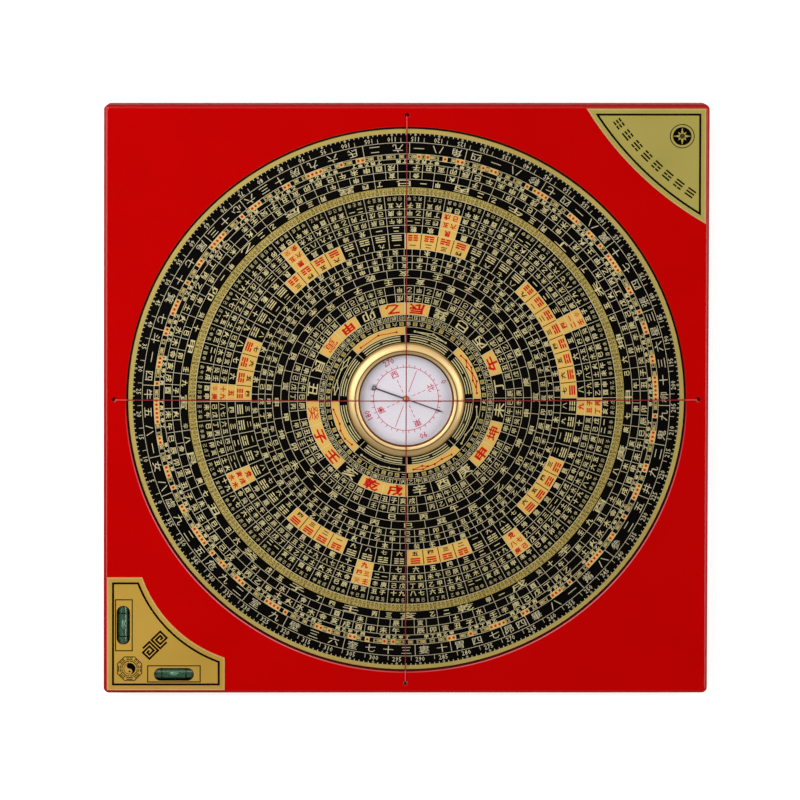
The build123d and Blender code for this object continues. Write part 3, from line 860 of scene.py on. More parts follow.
@dataclass
class SignBook:
    """The shapes of signs, taken once from Blender's own text and kept about the middle of their square.

    Args:
        widenings: the shares of a wished widening that are tried.
        probe: the small widening by which the growth is measured.
        kept_growth: the least share of that growth that a widening keeps.
    """

    digit_middle: tuple[float, float] = (0.25, 0.35)
    sign_middle: tuple[float, float] = (0.5, 0.38)
    widenings: tuple[float, ...] = (1.0, 0.75, 0.5, 0.25)
    probe: float = 0.004
    kept_growth: float = 0.6
    known: dict[tuple[str, float], Flat] = field(default_factory=dict)

    def widened(self, letter: str, bold: float) -> Flat:
        """A sign with wider strokes, but only as wide as its fill stays whole.

        Strokes that grow into each other lose their fill. So with the area A(b) at a widening b and its rate
        g = (A(p) - A(0)) / p at a small p, a widening holds if A(b) - A(0) > kept_growth g b. The widest of
        the shares of the wish that holds is taken, or the plain sign.

        Args:
            letter: the sign.
            bold: the wished widening, as a share of the sign's size.

        Returns:
            The sign's shape.
        """
        plain = self.sign(letter).area()
        rate = (self.sign(letter, self.probe).area() - plain) / self.probe
        for share in self.widenings:
            shape = self.sign(letter, bold * share)
            if shape.area() - plain > self.kept_growth * rate * bold * share:
                return shape
        return self.sign(letter)

    def sign(self, letter: str, bold: float = 0.0) -> Flat:
        """One sign in a square of side 1 about the origin.

        Args:
            letter: the sign.
            bold: how far its strokes are widened, as a share of its size.

        Returns:
            The sign's shape.
        """
        if (letter, bold) not in self.known:
            curve = bpy.data.curves.new("sign", "FONT")
            curve.body = letter
            curve.resolution_u = 1
            curve.offset = bold
            holder = bpy.data.objects.new("sign", curve)
            bpy.context.scene.collection.objects.link(holder)
            mesh = bpy.data.meshes.new_from_object(holder.evaluated_get(bpy.context.evaluated_depsgraph_get()))
            mesh.calc_loop_triangles()
            places = np.empty(len(mesh.vertices) * 3, np.float32)
            mesh.vertices.foreach_get("co", places)
            corners = np.empty(len(mesh.loop_triangles) * 3, np.int32)
            mesh.loop_triangles.foreach_get("vertices", corners)
            middle = self.digit_middle if letter in "0123456789" else self.sign_middle
            points = places.reshape(-1, 3)[:, :2].astype(float) - middle
            self.known[letter, bold] = Flat(points, corners.reshape(-1, 3)).upward()
            bpy.data.objects.remove(holder)
            bpy.data.meshes.remove(mesh)
            bpy.data.curves.remove(curve)
        return self.known[letter, bold]

    def sized(self, letter: str, width: float, height: float, bold: float = 0.0) -> Flat:
        """One sign stretched to a width and height."""
        shape = self.widened(letter, bold)
        return Flat(shape.points * (width, height), shape.corners)


@dataclass
class Sheet:
    """One colour of print: flat shapes gathered at one level and made one mesh.

    Args:
        level: its height above the board's underside.
        body: the body it rides on.
        slot: the record's slot that fits its finish; it is not used.
    """

    name: str
    finish: Finish
    level: float
    body: str
    slot: str | None = None
    shapes: list[Flat] = field(default_factory=list)

    def add(self, *shapes: Flat) -> None:
        """Gathers more shapes."""
        self.shapes += shapes

    def build(self) -> bpy.types.Object:
        """Makes the mesh, with a map laid flat over it, and rides it on its body.

        Returns:
            The new object.
        """
        shape = joined(self.shapes).upward()
        places = np.column_stack([shape.points, np.full(len(shape.points), self.level)]) * MM
        made = triangle_object(self.name, places, shape.corners, self.finish)
        layer = made.data.uv_layers.new(name="OFBake")
        low = shape.points.min(0)
        flat = (shape.points - low) / np.ptp(shape.points, 0).max()
        layer.uv.foreach_set("vector", flat[shape.corners.ravel()].astype(np.float32).ravel())
        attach(made, self.body)
        log.info("%s: %d triangles on %s", self.name, len(shape.corners), self.body)
        return made


def triangle_object(name: str, places: np.ndarray, corners: np.ndarray, finish: Coating) -> bpy.types.Object:
    """Makes an object from triangles.

    Args:
        name: the piece's name.
        places: its points in metres.
        corners: three point numbers for each triangle.
        finish: its finish.

    Returns:
        The new object, linked to the scene.
    """
    mesh = bpy.data.meshes.new(name)
    mesh.vertices.add(len(places))
    mesh.vertices.foreach_set("co", places.astype(np.float32).ravel())
    mesh.loops.add(corners.size)
    mesh.loops.foreach_set("vertex_index", corners.astype(np.int32).ravel())
    mesh.polygons.add(len(corners))
    mesh.polygons.foreach_set("loop_start", np.arange(0, corners.size, 3, dtype=np.int32))
    mesh.update(calc_edges=True)
    mesh.materials.append(finish.material())
    made = bpy.data.objects.new(name, mesh)
    bpy.context.scene.collection.objects.link(made)
    return made


def box_of(node: str) -> tuple[np.ndarray, np.ndarray]:
    """The lowest and highest corner of a CAD node in millimetres."""
    low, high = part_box(node)
    return np.array(low) / MM, np.array(high) / MM


def spaced(text: str, advance: float) -> list[tuple[str, float]]:
    """Each letter of a number with its shift from the number's middle."""
    return [(letter, (index - (len(text) - 1) / 2) * advance) for index, letter in enumerate(text)]


@dataclass(frozen=True)
class SignRow:
    """A row of signs in the equal cells of a ring.

    Args:
        middle: the row's middle as a share of the dial's radius.
        words: the signs, taken in turn.
        squeeze: how close to the middle of the cell they stand, 1 for evenly spread.
        bold: how far the strokes are widened.
        every: the cells that have signs, as remainders, or none for all.
        out_of: what those remainders are of.
        turn: how far the row starts after the ring's first line.
        cells: cells round the dial, where they aren't the ring's.
        hot_sheet: the sheet for the signs in the ring's orange cells.
    """

    middle: float
    width: float
    height: float
    words: str
    per_cell: int = 1
    squeeze: float = 0.9
    bold: float = 0.008
    every: tuple[int, ...] = ()
    out_of: int = 1
    turn: float = 0.0
    cells: int | None = None
    hot_sheet: str = "dial_red_signs"

    def turns(self, cells: int, first_line: float) -> np.ndarray:
        """The angles of the signs, side by side in equal cells.

        Args:
            cells: cells round the dial.
            first_line: where the first cell starts.

        Returns:
            An array of cells by signs in a cell.
        """
        within = (np.arange(self.per_cell) + 0.5) / self.per_cell
        within = 0.5 + (within - 0.5) * self.squeeze
        return first_line + 360.0 / cells * (np.arange(cells)[:, None] + within[None, :])


@dataclass(frozen=True)
class Ring:
    """A ring of the dial. It starts where the ring before it ends.

    Args:
        inner: where it ends, as a share of the dial's radius.
        cells: its equal cells round the dial, or 0 where a class of its own divides it.
        first_line: the angle where the first cell starts.
        hot: its orange cells, whose signs are red.
        divided: whether lines divide its cells.
        lined: the cells that start with a line, as remainders, or none for all.
        out_of: what those remainders are of.
        circled: whether a line ends it.
    """

    inner: float
    cells: int = 0
    first_line: float = 0.0
    rows: tuple[SignRow, ...] = ()
    hot: tuple[int, ...] = ()
    divided: bool = True
    lined: tuple[int, ...] = ()
    out_of: int = 1
    circled: bool = True


# Orange cells of the rings with stems, with figures and with the 24 directions
STEM_HOT = (2, 11, 16, 25, 34, 43, 48, 57)
FIGURE_HOT = tuple(start + cell for start in (0, 8, 12, 20, 28, 36, 48, 56) for cell in range(4))
MOUNTAIN_HOT = (0, 4, 7, 8, 12, 13, 15, 16, 17, 20, 21, 23)

# Where rings of 64 cells, the ring of the 24 directions and the rings inside it start
FIGURE_LINE = -0.5
SOUTH_LINE = -0.9

# The rings from the rim inwards
RINGS: dict[str, Ring] = {
    "numbers": Ring(0.950),
    "mansions": Ring(0.908),
    "single_degrees": Ring(0.889),
    "chequer": Ring(0.872),
    "outer_branches": Ring(0.843, 120, 0.9, lined=(1, 2, 3, 4, 5, 7, 9, 12, 13, 14), out_of=15, rows=(
        SignRow(0.8575, 2.8, 2.3, BRANCHES + PHASES + STEMS, every=tuple(range(14)), out_of=15, bold=0.02),)),
    "outer_phases": Ring(0.8145, 120, 0.9, rows=(
        SignRow(0.8287, 2.3, 2.1, PHASES + BRANCHES, every=(0, 3), out_of=5, bold=0.03),)),
    "outer_directions": Ring(0.7845, 24, 6.9, circled=False, rows=(
        SignRow(0.8, 2.1, 2.1, STEMS, squeeze=0.2, bold=0.03, turn=-6.3),
        SignRow(0.8, 2.4, 2.2, NUMERALS, bold=0.03, turn=-10.0),
        SignRow(0.8, 6.2, 2.7, MOUNTAINS[12:] + MOUNTAINS[:12], bold=0.012))),
    "gold_band": Ring(0.7575),
    "small_signs": Ring(0.705, 64, FIGURE_LINE, rows=(
        SignRow(0.7435, 1.4, 1.6, STEMS + BRANCHES, per_cell=3, squeeze=0.8, bold=0.0),
        SignRow(0.718, 2.2, 2.0, BRANCHES + NUMERALS, per_cell=2, squeeze=0.85, bold=0.03))),
    "paired_stems": Ring(0.675, 64, FIGURE_LINE, hot=STEM_HOT, rows=(
        SignRow(0.69, 2.2, 2.1, STEMS + PHASES, per_cell=2, bold=0.02),)),
    "paired_branches": Ring(0.645, 64, FIGURE_LINE, hot=STEM_HOT, rows=(
        SignRow(0.66, 2.1, 2.0, NUMERALS + BRANCHES, per_cell=2, squeeze=0.85, bold=0.02),)),
    "figure_names": Ring(0.615, 64, FIGURE_LINE, hot=STEM_HOT, rows=(
        SignRow(0.63, 2.3, 2.2, TRIGRAM_NAMES + NUMERALS, bold=0.03),)),
    "figures": Ring(0.5575, 64, FIGURE_LINE, hot=FIGURE_HOT, divided=False, rows=(
        SignRow(0.5715, 2.3, 1.7, NUMERALS[:9], bold=0.02, hot_sheet="dial_black_signs"),)),
    "inner_phases": Ring(0.532, 120, 2.2, rows=(
        SignRow(0.545, 2.2, 2.1, PHASES + STEMS, every=(1, 3, 4), out_of=5, bold=0.03, turn=-3.3, cells=60),)),
    "sixty_stems": Ring(0.508, 60, 2.4, rows=(SignRow(0.52, 2.4, 1.8, STEMS, bold=0.02),)),
    "sixty_branches": Ring(0.481, 60, 2.4, rows=(SignRow(0.495, 2.4, 1.9, BRANCHES, bold=0.02),)),
    "inner_directions": Ring(0.451, 24, 6.5, rows=(SignRow(0.4665, 3.8, 2.3, MOUNTAINS, bold=0.012),)),
    "turned_directions": Ring(0.4225, 24, SOUTH_LINE, rows=(
        SignRow(0.437, 3.3, 2.3, MOUNTAINS[::-1], bold=0.02),)),
    "outer_dragons": Ring(0.391, 72, 4.1, rows=(
        SignRow(0.4065, 2.2, 2.1, STEMS, every=(0, 1, 2, 4, 5), out_of=6, bold=0.01),)),
    "inner_dragons": Ring(0.359, 72, 4.1, rows=(
        SignRow(0.375, 2.3, 2.2, BRANCHES, every=(0, 1, 2, 4, 5), out_of=6, bold=0.02),)),
    "directions": Ring(0.315, 24, SOUTH_LINE, hot=MOUNTAIN_HOT, rows=(
        SignRow(0.337, 5.5, 4.0, MOUNTAINS[9:] + MOUNTAINS[:9], bold=0.012),)),
    "small_branches": Ring(0.293, 72, SOUTH_LINE, rows=(SignRow(0.304, 2.0, 1.7, BRANCHES + STEMS, bold=0.01),)),
    "gold_cells": Ring(0.2695, 72, SOUTH_LINE, divided=False, rows=(
        SignRow(0.281, 1.9, 1.6, PHASES + NUMERALS, every=(0,), out_of=2, bold=0.01),)),
    "stars": Ring(0.2415, 8, SOUTH_LINE),
}


@dataclass
class DialPrint:
    """The print on the dial's plate: black rings with gold lines and signs, and orange cells with red signs.

    Args:
        face: the height of the plate's face.
        hole_radius: where the print ends at the bezel.
        ink_gap: how far the black ground lies over the face.
        fill_gap: how far the filled cells do.
        sign_gap: how far the lines and signs do.
        rim_share: the share of the radius where the print starts.
        outer_share: the share beyond which gold signs go to the outer sheet.
        hot_bold: how much wider the strokes of the orange cells' signs are.
    """

    book: SignBook
    radius: float
    face: float
    hole_radius: float
    line_width: float = 0.17
    ink_gap: float = 0.02
    fill_gap: float = 0.035
    sign_gap: float = 0.05
    rim_share: float = 0.984
    outer_share: float = 0.65
    turned: float = 0.08
    hot_bold: float = 0.025
    sheets: dict[str, Sheet] = field(default_factory=dict)

    def build(self) -> None:
        """Gathers every ring and makes the sheets' meshes."""
        for name, finish, gap, slot in (
                ("dial_black_ground", BLACK_INK, self.ink_gap, None),
                ("dial_gold_cells", GOLD_FACE, self.fill_gap, "gold_plate"),
                ("dial_orange_cells", ORANGE_INK, self.fill_gap, None),
                ("dial_gold_lines", PALE_PRINT, self.sign_gap, "gold_plate"),
                ("dial_pale_signs", PALE_PRINT, self.sign_gap, "gold_plate"),
                ("dial_gold_outer_signs", GOLD_PRINT, self.sign_gap, "gold_plate"),
                ("dial_gold_inner_signs", GOLD_PRINT, self.sign_gap, "gold_plate"),
                ("dial_red_signs", RED_INK, self.sign_gap, None),
                ("dial_black_signs", BLACK_INK, self.sign_gap, None)):
            self.sheets[name] = Sheet(name, finish, self.face + gap, "dial", slot)
        self.add("dial_black_ground", full_ring(self.hole_radius, self.at(self.rim_share)))
        for name, ring in RINGS.items():
            self.print_ring(ring, *self.edges(name))
        for part in (DegreeScale(), MansionSigns(), SingleDegrees(), GoldBand(), GoldCells(), Figures(), Stars(),
                     FineBars()):
            part.print_on(self)
        for sheet in self.sheets.values():
            sheet.shapes = [joined(sheet.shapes).moved((0, 0), self.turned)]
            sheet.build()

    def at(self, share: float) -> float:
        """A radius in millimetres from its share."""
        return self.radius * share

    def edges(self, name: str) -> tuple[float, float]:
        """A ring's inner and outer radius."""
        shares = [self.rim_share] + [ring.inner for ring in RINGS.values()]
        index = list(RINGS).index(name)
        return self.at(shares[index + 1]), self.at(shares[index])

    def add(self, sheet: str, *shapes: Flat) -> None:
        """Adds shapes to one of the sheets."""
        self.sheets[sheet].add(*shapes)

    def sign(self, sheet: str, letter: str, size: tuple[float, float], bold: float, share: float,
             turns: np.ndarray, shift: float = 0.0) -> None:
        """Adds a sign at several angles.

        Args:
            sheet: the sheet's name.
            letter: the sign.
            size: its width and height.
            bold: how far its strokes are widened.
            share: its distance from the axis as a share of the dial's radius.
            turns: its angles.
            shift: how far it is moved to its right.
        """
        self.add(sheet, stamped(self.book.sized(letter, *size, bold), self.at(share), turns, shift))

    def print_ring(self, ring: Ring, inner: float, outer: float) -> None:
        """Adds a ring's circle, the lines between its cells, its orange cells and its signs.

        Args:
            ring: the ring.
            inner: its inner radius.
            outer: its outer radius.
        """
        if ring.circled:
            self.add("dial_gold_lines", circle_line(inner, self.line_width))
        if ring.cells and ring.divided:
            number = np.arange(ring.cells)
            chosen = number[np.isin(number % ring.out_of, ring.lined)] if ring.lined else number
            turns = ring.first_line + 360.0 / ring.cells * chosen
            self.add("dial_gold_lines", spokes(inner, outer, turns, self.line_width))
        if ring.hot:
            pitch = 360.0 / ring.cells
            starts = ring.first_line + pitch * np.array(ring.hot)
            self.add("dial_orange_cells", sectors(inner, outer, starts, pitch, 3))
        for row in ring.rows:
            self.print_row(ring, row)

    def print_row(self, ring: Ring, row: SignRow) -> None:
        """Adds a row of signs, with those of the orange cells on their own sheet.

        Args:
            ring: the row's ring.
            row: the row.
        """
        cells = row.cells or ring.cells
        turns = row.turns(cells, ring.first_line + row.turn)
        number = np.arange(cells)
        shown = np.isin(number % row.out_of, row.every) if row.every else np.full(cells, True)
        hot = np.isin(number, ring.hot)
        order = np.arange(turns.size).reshape(turns.shape) % len(row.words)
        gold = "dial_gold_outer_signs" if row.middle > self.outer_share else "dial_gold_inner_signs"
        for index, letter in enumerate(row.words):
            for sheet, chosen, bold in ((gold, shown & ~hot, row.bold),
                                        (row.hot_sheet, shown & hot, row.bold + self.hot_bold)):
                here = (order == index) & chosen[:, None]
                if here.any():
                    self.sign(sheet, letter, (row.width, row.height), bold, row.middle, turns[here])


@dataclass(frozen=True)
class DegreeScale:
    """The rim's degree lines, a dot at each fifth and the numbers from 0 to 355, at shares of the radius."""

    zero: float = 246.9
    step: int = 5
    line_start: float = 0.978
    line_width: float = 0.28
    fifth_start: float = 0.974
    fifth_width: float = 0.36
    dot: float = 0.979
    dot_radius: float = 0.42
    divider: tuple[float, float] = (0.951, 0.967)
    divider_turn: float = 1.9
    number: float = 0.9625
    number_size: tuple[float, float] = (2.1, 2.4)
    number_bold: float = 0.008
    advance: float = 1.15

    def print_on(self, dial: DialPrint) -> None:
        """Adds the scale to the dial's print."""
        degrees = np.arange(360.0)
        fifth = degrees % self.step == 0
        turns, rim = degrees + self.zero, dial.at(dial.rim_share)
        dial.add("dial_pale_signs", spokes(dial.at(self.line_start), rim, turns[~fifth], self.line_width),
                 spokes(dial.at(self.fifth_start), rim, turns[fifth], self.fifth_width),
                 stamped(disc_shape(self.dot_radius, steps=10), dial.at(self.dot), turns[fifth]))
        start, end = (dial.at(share) for share in self.divider)
        dial.add("dial_gold_lines", spokes(start, end, turns[fifth] + self.divider_turn, dial.line_width))
        for degree in range(0, 360, self.step):
            for letter, shift in spaced(str(degree), self.advance):
                dial.sign("dial_pale_signs", letter, self.number_size, self.number_bold, self.number,
                          [degree + self.zero], shift)


@dataclass(frozen=True)
class MansionSigns:
    """The ring of 28 unequal cells, each with numerals and one mansion's sign.

    Args:
        pitch: about how many degrees a sign has.
        strides: how the numerals go on from cell to cell and from sign to sign.
    """

    first_line: float = 0.7
    widths: tuple[float, ...] = (12.6, 18.7, 20.0, 17.3, 6.6, 15.5, 9.0, 12.5, 15.0, 9.5, 14.5, 6.0, 12.0, 8.0,
                                 16.0, 14.0, 10.5, 12.5, 17.0, 9.0, 16.5, 13.0, 10.0, 13.5, 11.0, 15.5, 14.0,
                                 10.3)
    line_width: float = 0.221
    middle: float = 0.929
    size: tuple[float, float] = (4.1, 3.2)
    pitch: float = 4.3
    strides: tuple[int, int] = (3, 7)

    def print_on(self, dial: DialPrint) -> None:
        """Adds the cells and signs to the dial's print."""
        sweeps = np.array(self.widths) * 360.0 / sum(self.widths)
        starts = self.first_line + np.concatenate([[0.0], np.cumsum(sweeps)[:-1]])
        dial.add("dial_gold_lines", spokes(*dial.edges("mansions"), starts, self.line_width))
        for index, (start, sweep) in enumerate(zip(starts, sweeps)):
            count = max(2, int(round(sweep / self.pitch)))
            by_cell, by_sign = self.strides
            words = [NUMERALS[(index * by_cell + step * by_sign) % len(NUMERALS)] for step in range(count - 1)]
            words.append(MANSIONS[-index % len(MANSIONS)])
            for step, letter in enumerate(words):
                turn = start + sweep * (step + 0.5) / count
                dial.sign("dial_pale_signs", letter, self.size, 0.0, self.middle, [turn])


@dataclass(frozen=True)
class SingleDegrees:
    """The ring of one-degree cells, some orange with a red dot, and the small chequered cells under it.

    Args:
        runs: first cell and length of each run of orange cells in one half round; the other half repeats them.
        bright: of the other cells, those whose number times the first leaves less than the last over the second.
        bright_sweep: where a bright cell starts within its degree, and its sweep.
        small_shown: of so many, how many have a sign.
    """

    first_line: float = 0.4
    inner: float = 0.8895
    outer: float = 0.9075
    runs: tuple[tuple[int, int], ...] = (
        (2, 1), (4, 1), (8, 1), (11, 2), (17, 1), (19, 2), (28, 1), (30, 4), (40, 3), (46, 2), (50, 1), (53, 5),
        (62, 2), (68, 1), (71, 3), (79, 2), (84, 6), (93, 1), (97, 3), (105, 2), (110, 4), (118, 1), (123, 2),
        (128, 5), (138, 1), (141, 3), (150, 2), (156, 4), (164, 1), (168, 2))
    dot_radius: float = 0.48
    bright: tuple[int, int, int] = (7, 5, 3)
    bright_inset: float = 0.3
    bright_sweep: tuple[float, float] = (0.12, 0.76)
    spot: float = 0.7
    line_width: float = 0.14
    small_words: str = STEMS[:4]
    small_middle: float = 0.8805
    small_size: tuple[float, float] = (1.7, 1.35)
    small_bold: float = 0.05
    small_cells: int = 240
    small_shown: tuple[int, int] = (7, 5)

    def print_on(self, dial: DialPrint) -> None:
        """Adds both rows of cells to the dial's print."""
        lucky = np.concatenate([np.arange(start, start + length) for start, length in self.runs])
        lucky = np.concatenate([lucky, lucky + 180])
        other = np.setdiff1d(np.arange(360), lucky)
        times, over, less = self.bright
        bright = other[other * times % over < less]
        inner, outer = dial.at(self.inner), dial.at(self.outer)
        middle, (start, sweep) = (inner + outer) / 2, self.bright_sweep
        dial.add("dial_orange_cells", sectors(inner, outer, self.first_line + lucky, 1.0, 1))
        dial.add("dial_red_signs",
                 stamped(disc_shape(self.dot_radius, steps=8), middle, self.first_line + lucky + 0.5))
        dial.add("dial_gold_cells", sectors(inner + self.bright_inset, outer - self.bright_inset,
                                            self.first_line + bright + start, sweep, 1))
        dial.add("dial_black_signs",
                 stamped(box_shape(self.spot, self.spot), middle, self.first_line + bright[::2] + 0.5))
        dial.add("dial_gold_lines", spokes(inner, outer, self.first_line + np.arange(360.0), self.line_width))
        small = np.arange(self.small_cells)
        of, shown = self.small_shown
        for index, letter in enumerate(self.small_words):
            chosen = small[(small % len(self.small_words) == index) & (small % of < shown)]
            dial.sign("dial_gold_outer_signs", letter, self.small_size, self.small_bold, self.small_middle,
                      self.first_line + 360.0 / self.small_cells * (chosen + 0.5))


@dataclass(frozen=True)
class GoldBand:
    """The gold band with two rows of fine marks. Places are shares of the dial's radius."""

    marks: int = 320
    rows: tuple[tuple[float, str], ...] = ((0.7775, "二五六八"), (0.7645, "三四七九"))
    size: tuple[float, float] = (1.2, 1.15)
    bold: float = 0.03
    line: float = 0.771
    line_width: float = 0.1

    def print_on(self, dial: DialPrint) -> None:
        """Adds the band and its marks to the dial's print."""
        dial.add("dial_gold_cells", full_ring(*dial.edges("gold_band")))
        turns = np.arange(self.marks) * 360.0 / self.marks
        for share, words in self.rows:
            for index, letter in enumerate(words):
                dial.sign("dial_black_signs", letter, self.size, self.bold, share, turns[index::len(words)])
        dial.add("dial_black_signs", circle_line(dial.at(self.line), self.line_width, 360))


@dataclass(frozen=True)
class GoldCells:
    """Gold cells with black signs between the gold signs of the ring outside the stars."""

    pitch: float = 5.0
    edges: tuple[float, float] = (0.274, 0.2885)
    inset: float = 0.9
    sweep: float = 3.2
    middle: float = 0.2815
    size: tuple[float, float] = (1.4, 1.3)

    def print_on(self, dial: DialPrint) -> None:
        """Adds every second cell of the ring to the dial's print."""
        starts = self.pitch * np.arange(1, 72, 2) + SOUTH_LINE
        inner, outer = (dial.at(share) for share in self.edges)
        dial.add("dial_gold_cells", sectors(inner, outer, starts + self.inset, self.sweep, 2))
        for index, letter in enumerate(PHASES):
            dial.sign("dial_black_signs", letter, self.size, 0.0, self.middle,
                      starts[index::len(PHASES)] + self.pitch / 2)


@dataclass(frozen=True)
class Figures:
    """A figure of three lines in each of 64 cells, and the lines between cells, black between orange ones.

    Args:
        middle: the figures' place as a share of the dial's radius.
        line_ends: both ends of the lines between cells, as shares of the dial's radius.
    """

    middle: float = 0.5985
    size: tuple[float, float] = (3.5, 2.1)
    hot_thickness: float = 0.27
    gold_thickness: float = 0.19
    line_ends: tuple[float, float] = (0.559, 0.6135)
    black_width: float = 0.3
    gold_width: float = 0.2

    def print_on(self, dial: DialPrint) -> None:
        """Adds the figures and the lines to the dial's print."""
        numbers = np.arange(RINGS["figures"].cells)
        pitch = 360.0 / len(numbers)
        hot = np.isin(numbers, FIGURE_HOT)
        for digits in range(8):
            same = numbers % 8 == digits
            for name, chosen, thickness in (("dial_red_signs", same & hot, self.hot_thickness),
                                            ("dial_gold_inner_signs", same & ~hot, self.gold_thickness)):
                turns = FIGURE_LINE + pitch * (numbers[chosen] + 0.5)
                dial.add(name, stamped(trigram(digits, *self.size, thickness), dial.at(self.middle), turns))
        between = hot & np.roll(hot, 1)
        start, end = (dial.at(share) for share in self.line_ends)
        for name, chosen, width in (("dial_black_signs", between, self.black_width),
                                    ("dial_gold_lines", ~between, self.gold_width)):
            dial.add(name, spokes(start, end, FIGURE_LINE + pitch * numbers[chosen], width))


@dataclass(frozen=True)
class Stars:
    """The eight sectors of star lines, red on gold and gold on black by turns.

    Args:
        paths: for each sector its stars, as angle within it and share of the dial's radius, and the lines
            that join them.
    """

    line_width: float = 0.3
    radius: float = 0.42
    paths: tuple = (
        (((8, 0.254), (23, 0.26), (35, 0.2535), (19, 0.2505), (27, 0.2505)), ((0, 1, 2), (0, 3, 4, 2))),
        (((6.5, 0.255), (12, 0.26), (17, 0.249), (19, 0.263), (23.5, 0.257), (29.5, 0.25), (31, 0.263),
          (35.5, 0.256), (40.5, 0.256)),
         ((0, 1, 2, 4, 5, 7, 8), (1, 3, 4, 6, 7))),
        (((7, 0.255), (15, 0.263), (24.5, 0.258), (32, 0.251), (40, 0.257)), ((0, 1, 2, 3, 4),)),
        (((7, 0.261), (15.5, 0.255), (22.5, 0.26), (28, 0.259), (32.5, 0.252), (32.5, 0.265), (40, 0.26)),
         ((0, 1, 2, 3, 4, 6), (3, 5, 6))),
        (((6.5, 0.259), (14.5, 0.26), (23, 0.264), (31, 0.261), (39, 0.26)), ((0, 1, 2, 3, 4),)),
        (((5.5, 0.256), (12.5, 0.263), (20, 0.262), (25.5, 0.255), (38, 0.264)), ((0, 1, 2, 3, 4),)),
        (((5.5, 0.257), (11, 0.249), (11, 0.263), (17, 0.258), (26.5, 0.258), (31.5, 0.249), (32.5, 0.263),
          (38.5, 0.256)),
         ((0, 1, 3, 4, 5, 7), (0, 2, 3), (4, 6, 7))),
        (((5.5, 0.252), (23, 0.2575), (38, 0.252)), ((0, 1, 2),)),
    )

    def print_on(self, dial: DialPrint) -> None:
        """Adds the sectors and the stars to the dial's print: (r sin t, r cos t) for a star at r and t."""
        sweep = 360.0 / len(self.paths)
        first = SOUTH_LINE + sweep * np.arange(len(self.paths))
        dial.add("dial_orange_cells", sectors(*dial.edges("stars"), first[1::2], sweep, 16))
        for sector, (stars, lines) in enumerate(self.paths):
            turn, share = np.array(stars).T
            turn = np.radians(first[sector] + turn)
            places = dial.at(share)[:, None] * np.stack([np.sin(turn), np.cos(turn)], 1)
            dial.add("dial_red_signs" if sector % 2 else "dial_gold_inner_signs",
                     *(stroke(places[list(line)], self.line_width) for line in lines),
                     *(disc_shape(self.radius, x, y, 10) for x, y in places))


@dataclass(frozen=True)
class FineBars:
    """The trigrams next to the bezel: fine gold rings in eight sectors, broken by black blocks.

    Args:
        edges: both ends of the bars, as shares of the dial's radius.
        width_share: a bar's width as a share of their distance.
        block_ends: a block's ends, counted in bars from the innermost.
    """

    edges: tuple[float, float] = (0.213, 0.2395)
    count: int = 3
    width_share: float = 0.4
    sweep: float = 36.2
    block_sweep: float = 3.2
    block_ends: tuple[float, float] = (0.9, 2.1)

    def print_on(self, dial: DialPrint) -> None:
        """Adds the bars, the blocks and the lines between sectors to the dial's print."""
        inner, outer = (dial.at(share) for share in self.edges)
        pitch = (outer - inner) / self.count
        lines = SOUTH_LINE + 45.0 * np.arange(8)
        middles = lines + 22.5
        for middle in inner + pitch * (np.arange(self.count) + 0.5):
            half = pitch * self.width_share / 2
            dial.add("dial_gold_inner_signs",
                     sectors(middle - half, middle + half, middles - self.sweep / 2, self.sweep, 16))
        start, end = (inner + pitch * share for share in self.block_ends)
        dial.add("dial_black_signs", sectors(start, end, middles - self.block_sweep / 2, self.block_sweep, 2))
        dial.add("dial_gold_lines", spokes(inner, outer, lines, dial.line_width))


@dataclass(frozen=True)
class CardPrint:
    """The red print on the capsule's card: a scale circle, four rays, four dashed rays, winds and numbers.

    Args:
        ray: where the rays start and end.
        dashes: where the last dash may start, the dashes' pitch and their length.
    """

    book: SignBook
    level: float
    lift: float = 0.015
    north: float = 65.0
    scale_radius: float = 11.7
    tick: float = 1.0
    ticks: int = 36
    line_width: float = 0.22
    ray: tuple[float, float] = (2.6, 11.0)
    dashes: tuple[float, float, float] = (8.0, 1.9, 1.2)
    wind_radius: float = 9.85
    wind_size: tuple[float, float] = (2.9, 2.9)
    number_radius: float = 14.9
    number_size: tuple[float, float] = (2.8, 3.0)
    advance: float = 1.35
    bold: float = 0.012

    def outward(self, letter: str, size: tuple[float, float], radius: float, turn: float, shift: float) -> Flat:
        """A sign with its top away from the centre.

        Args:
            letter: the sign.
            size: its width and height.
            radius: its distance from the axis.
            turn: its angle clockwise from the top.
            shift: how far it is moved to its right.

        Returns:
            The placed sign.
        """
        t = np.radians(turn) + shift / radius
        shape = self.book.sized(letter, *size, self.bold)
        return shape.moved((radius * np.sin(t), radius * np.cos(t)), -np.degrees(t))

    def build(self) -> None:
        """Makes the card's print as one piece."""
        sheet = Sheet("card_red_print", CARD_INK, self.level + self.lift, "dial")
        quarters = self.north + 90.0 * np.arange(4)
        sheet.add(circle_line(self.scale_radius, self.line_width, 120))
        sheet.add(spokes(self.scale_radius, self.scale_radius + self.tick,
                         self.north + 360.0 / self.ticks * np.arange(self.ticks), self.line_width))
        sheet.add(spokes(*self.ray, quarters + 45.0, self.line_width))
        last, pitch, length = self.dashes
        for start in np.arange(self.ray[0], last, pitch):
            sheet.add(spokes(start, start + length, quarters, self.line_width))
        for quarter, (turn, wind) in enumerate(zip(quarters, WINDS)):
            sheet.add(self.outward(wind, self.wind_size, self.wind_radius, turn, 0.0))
            for letter, shift in spaced(str(90 * quarter), self.advance):
                sheet.add(self.outward(letter, self.number_size, self.number_radius, turn, shift))
        sheet.build()


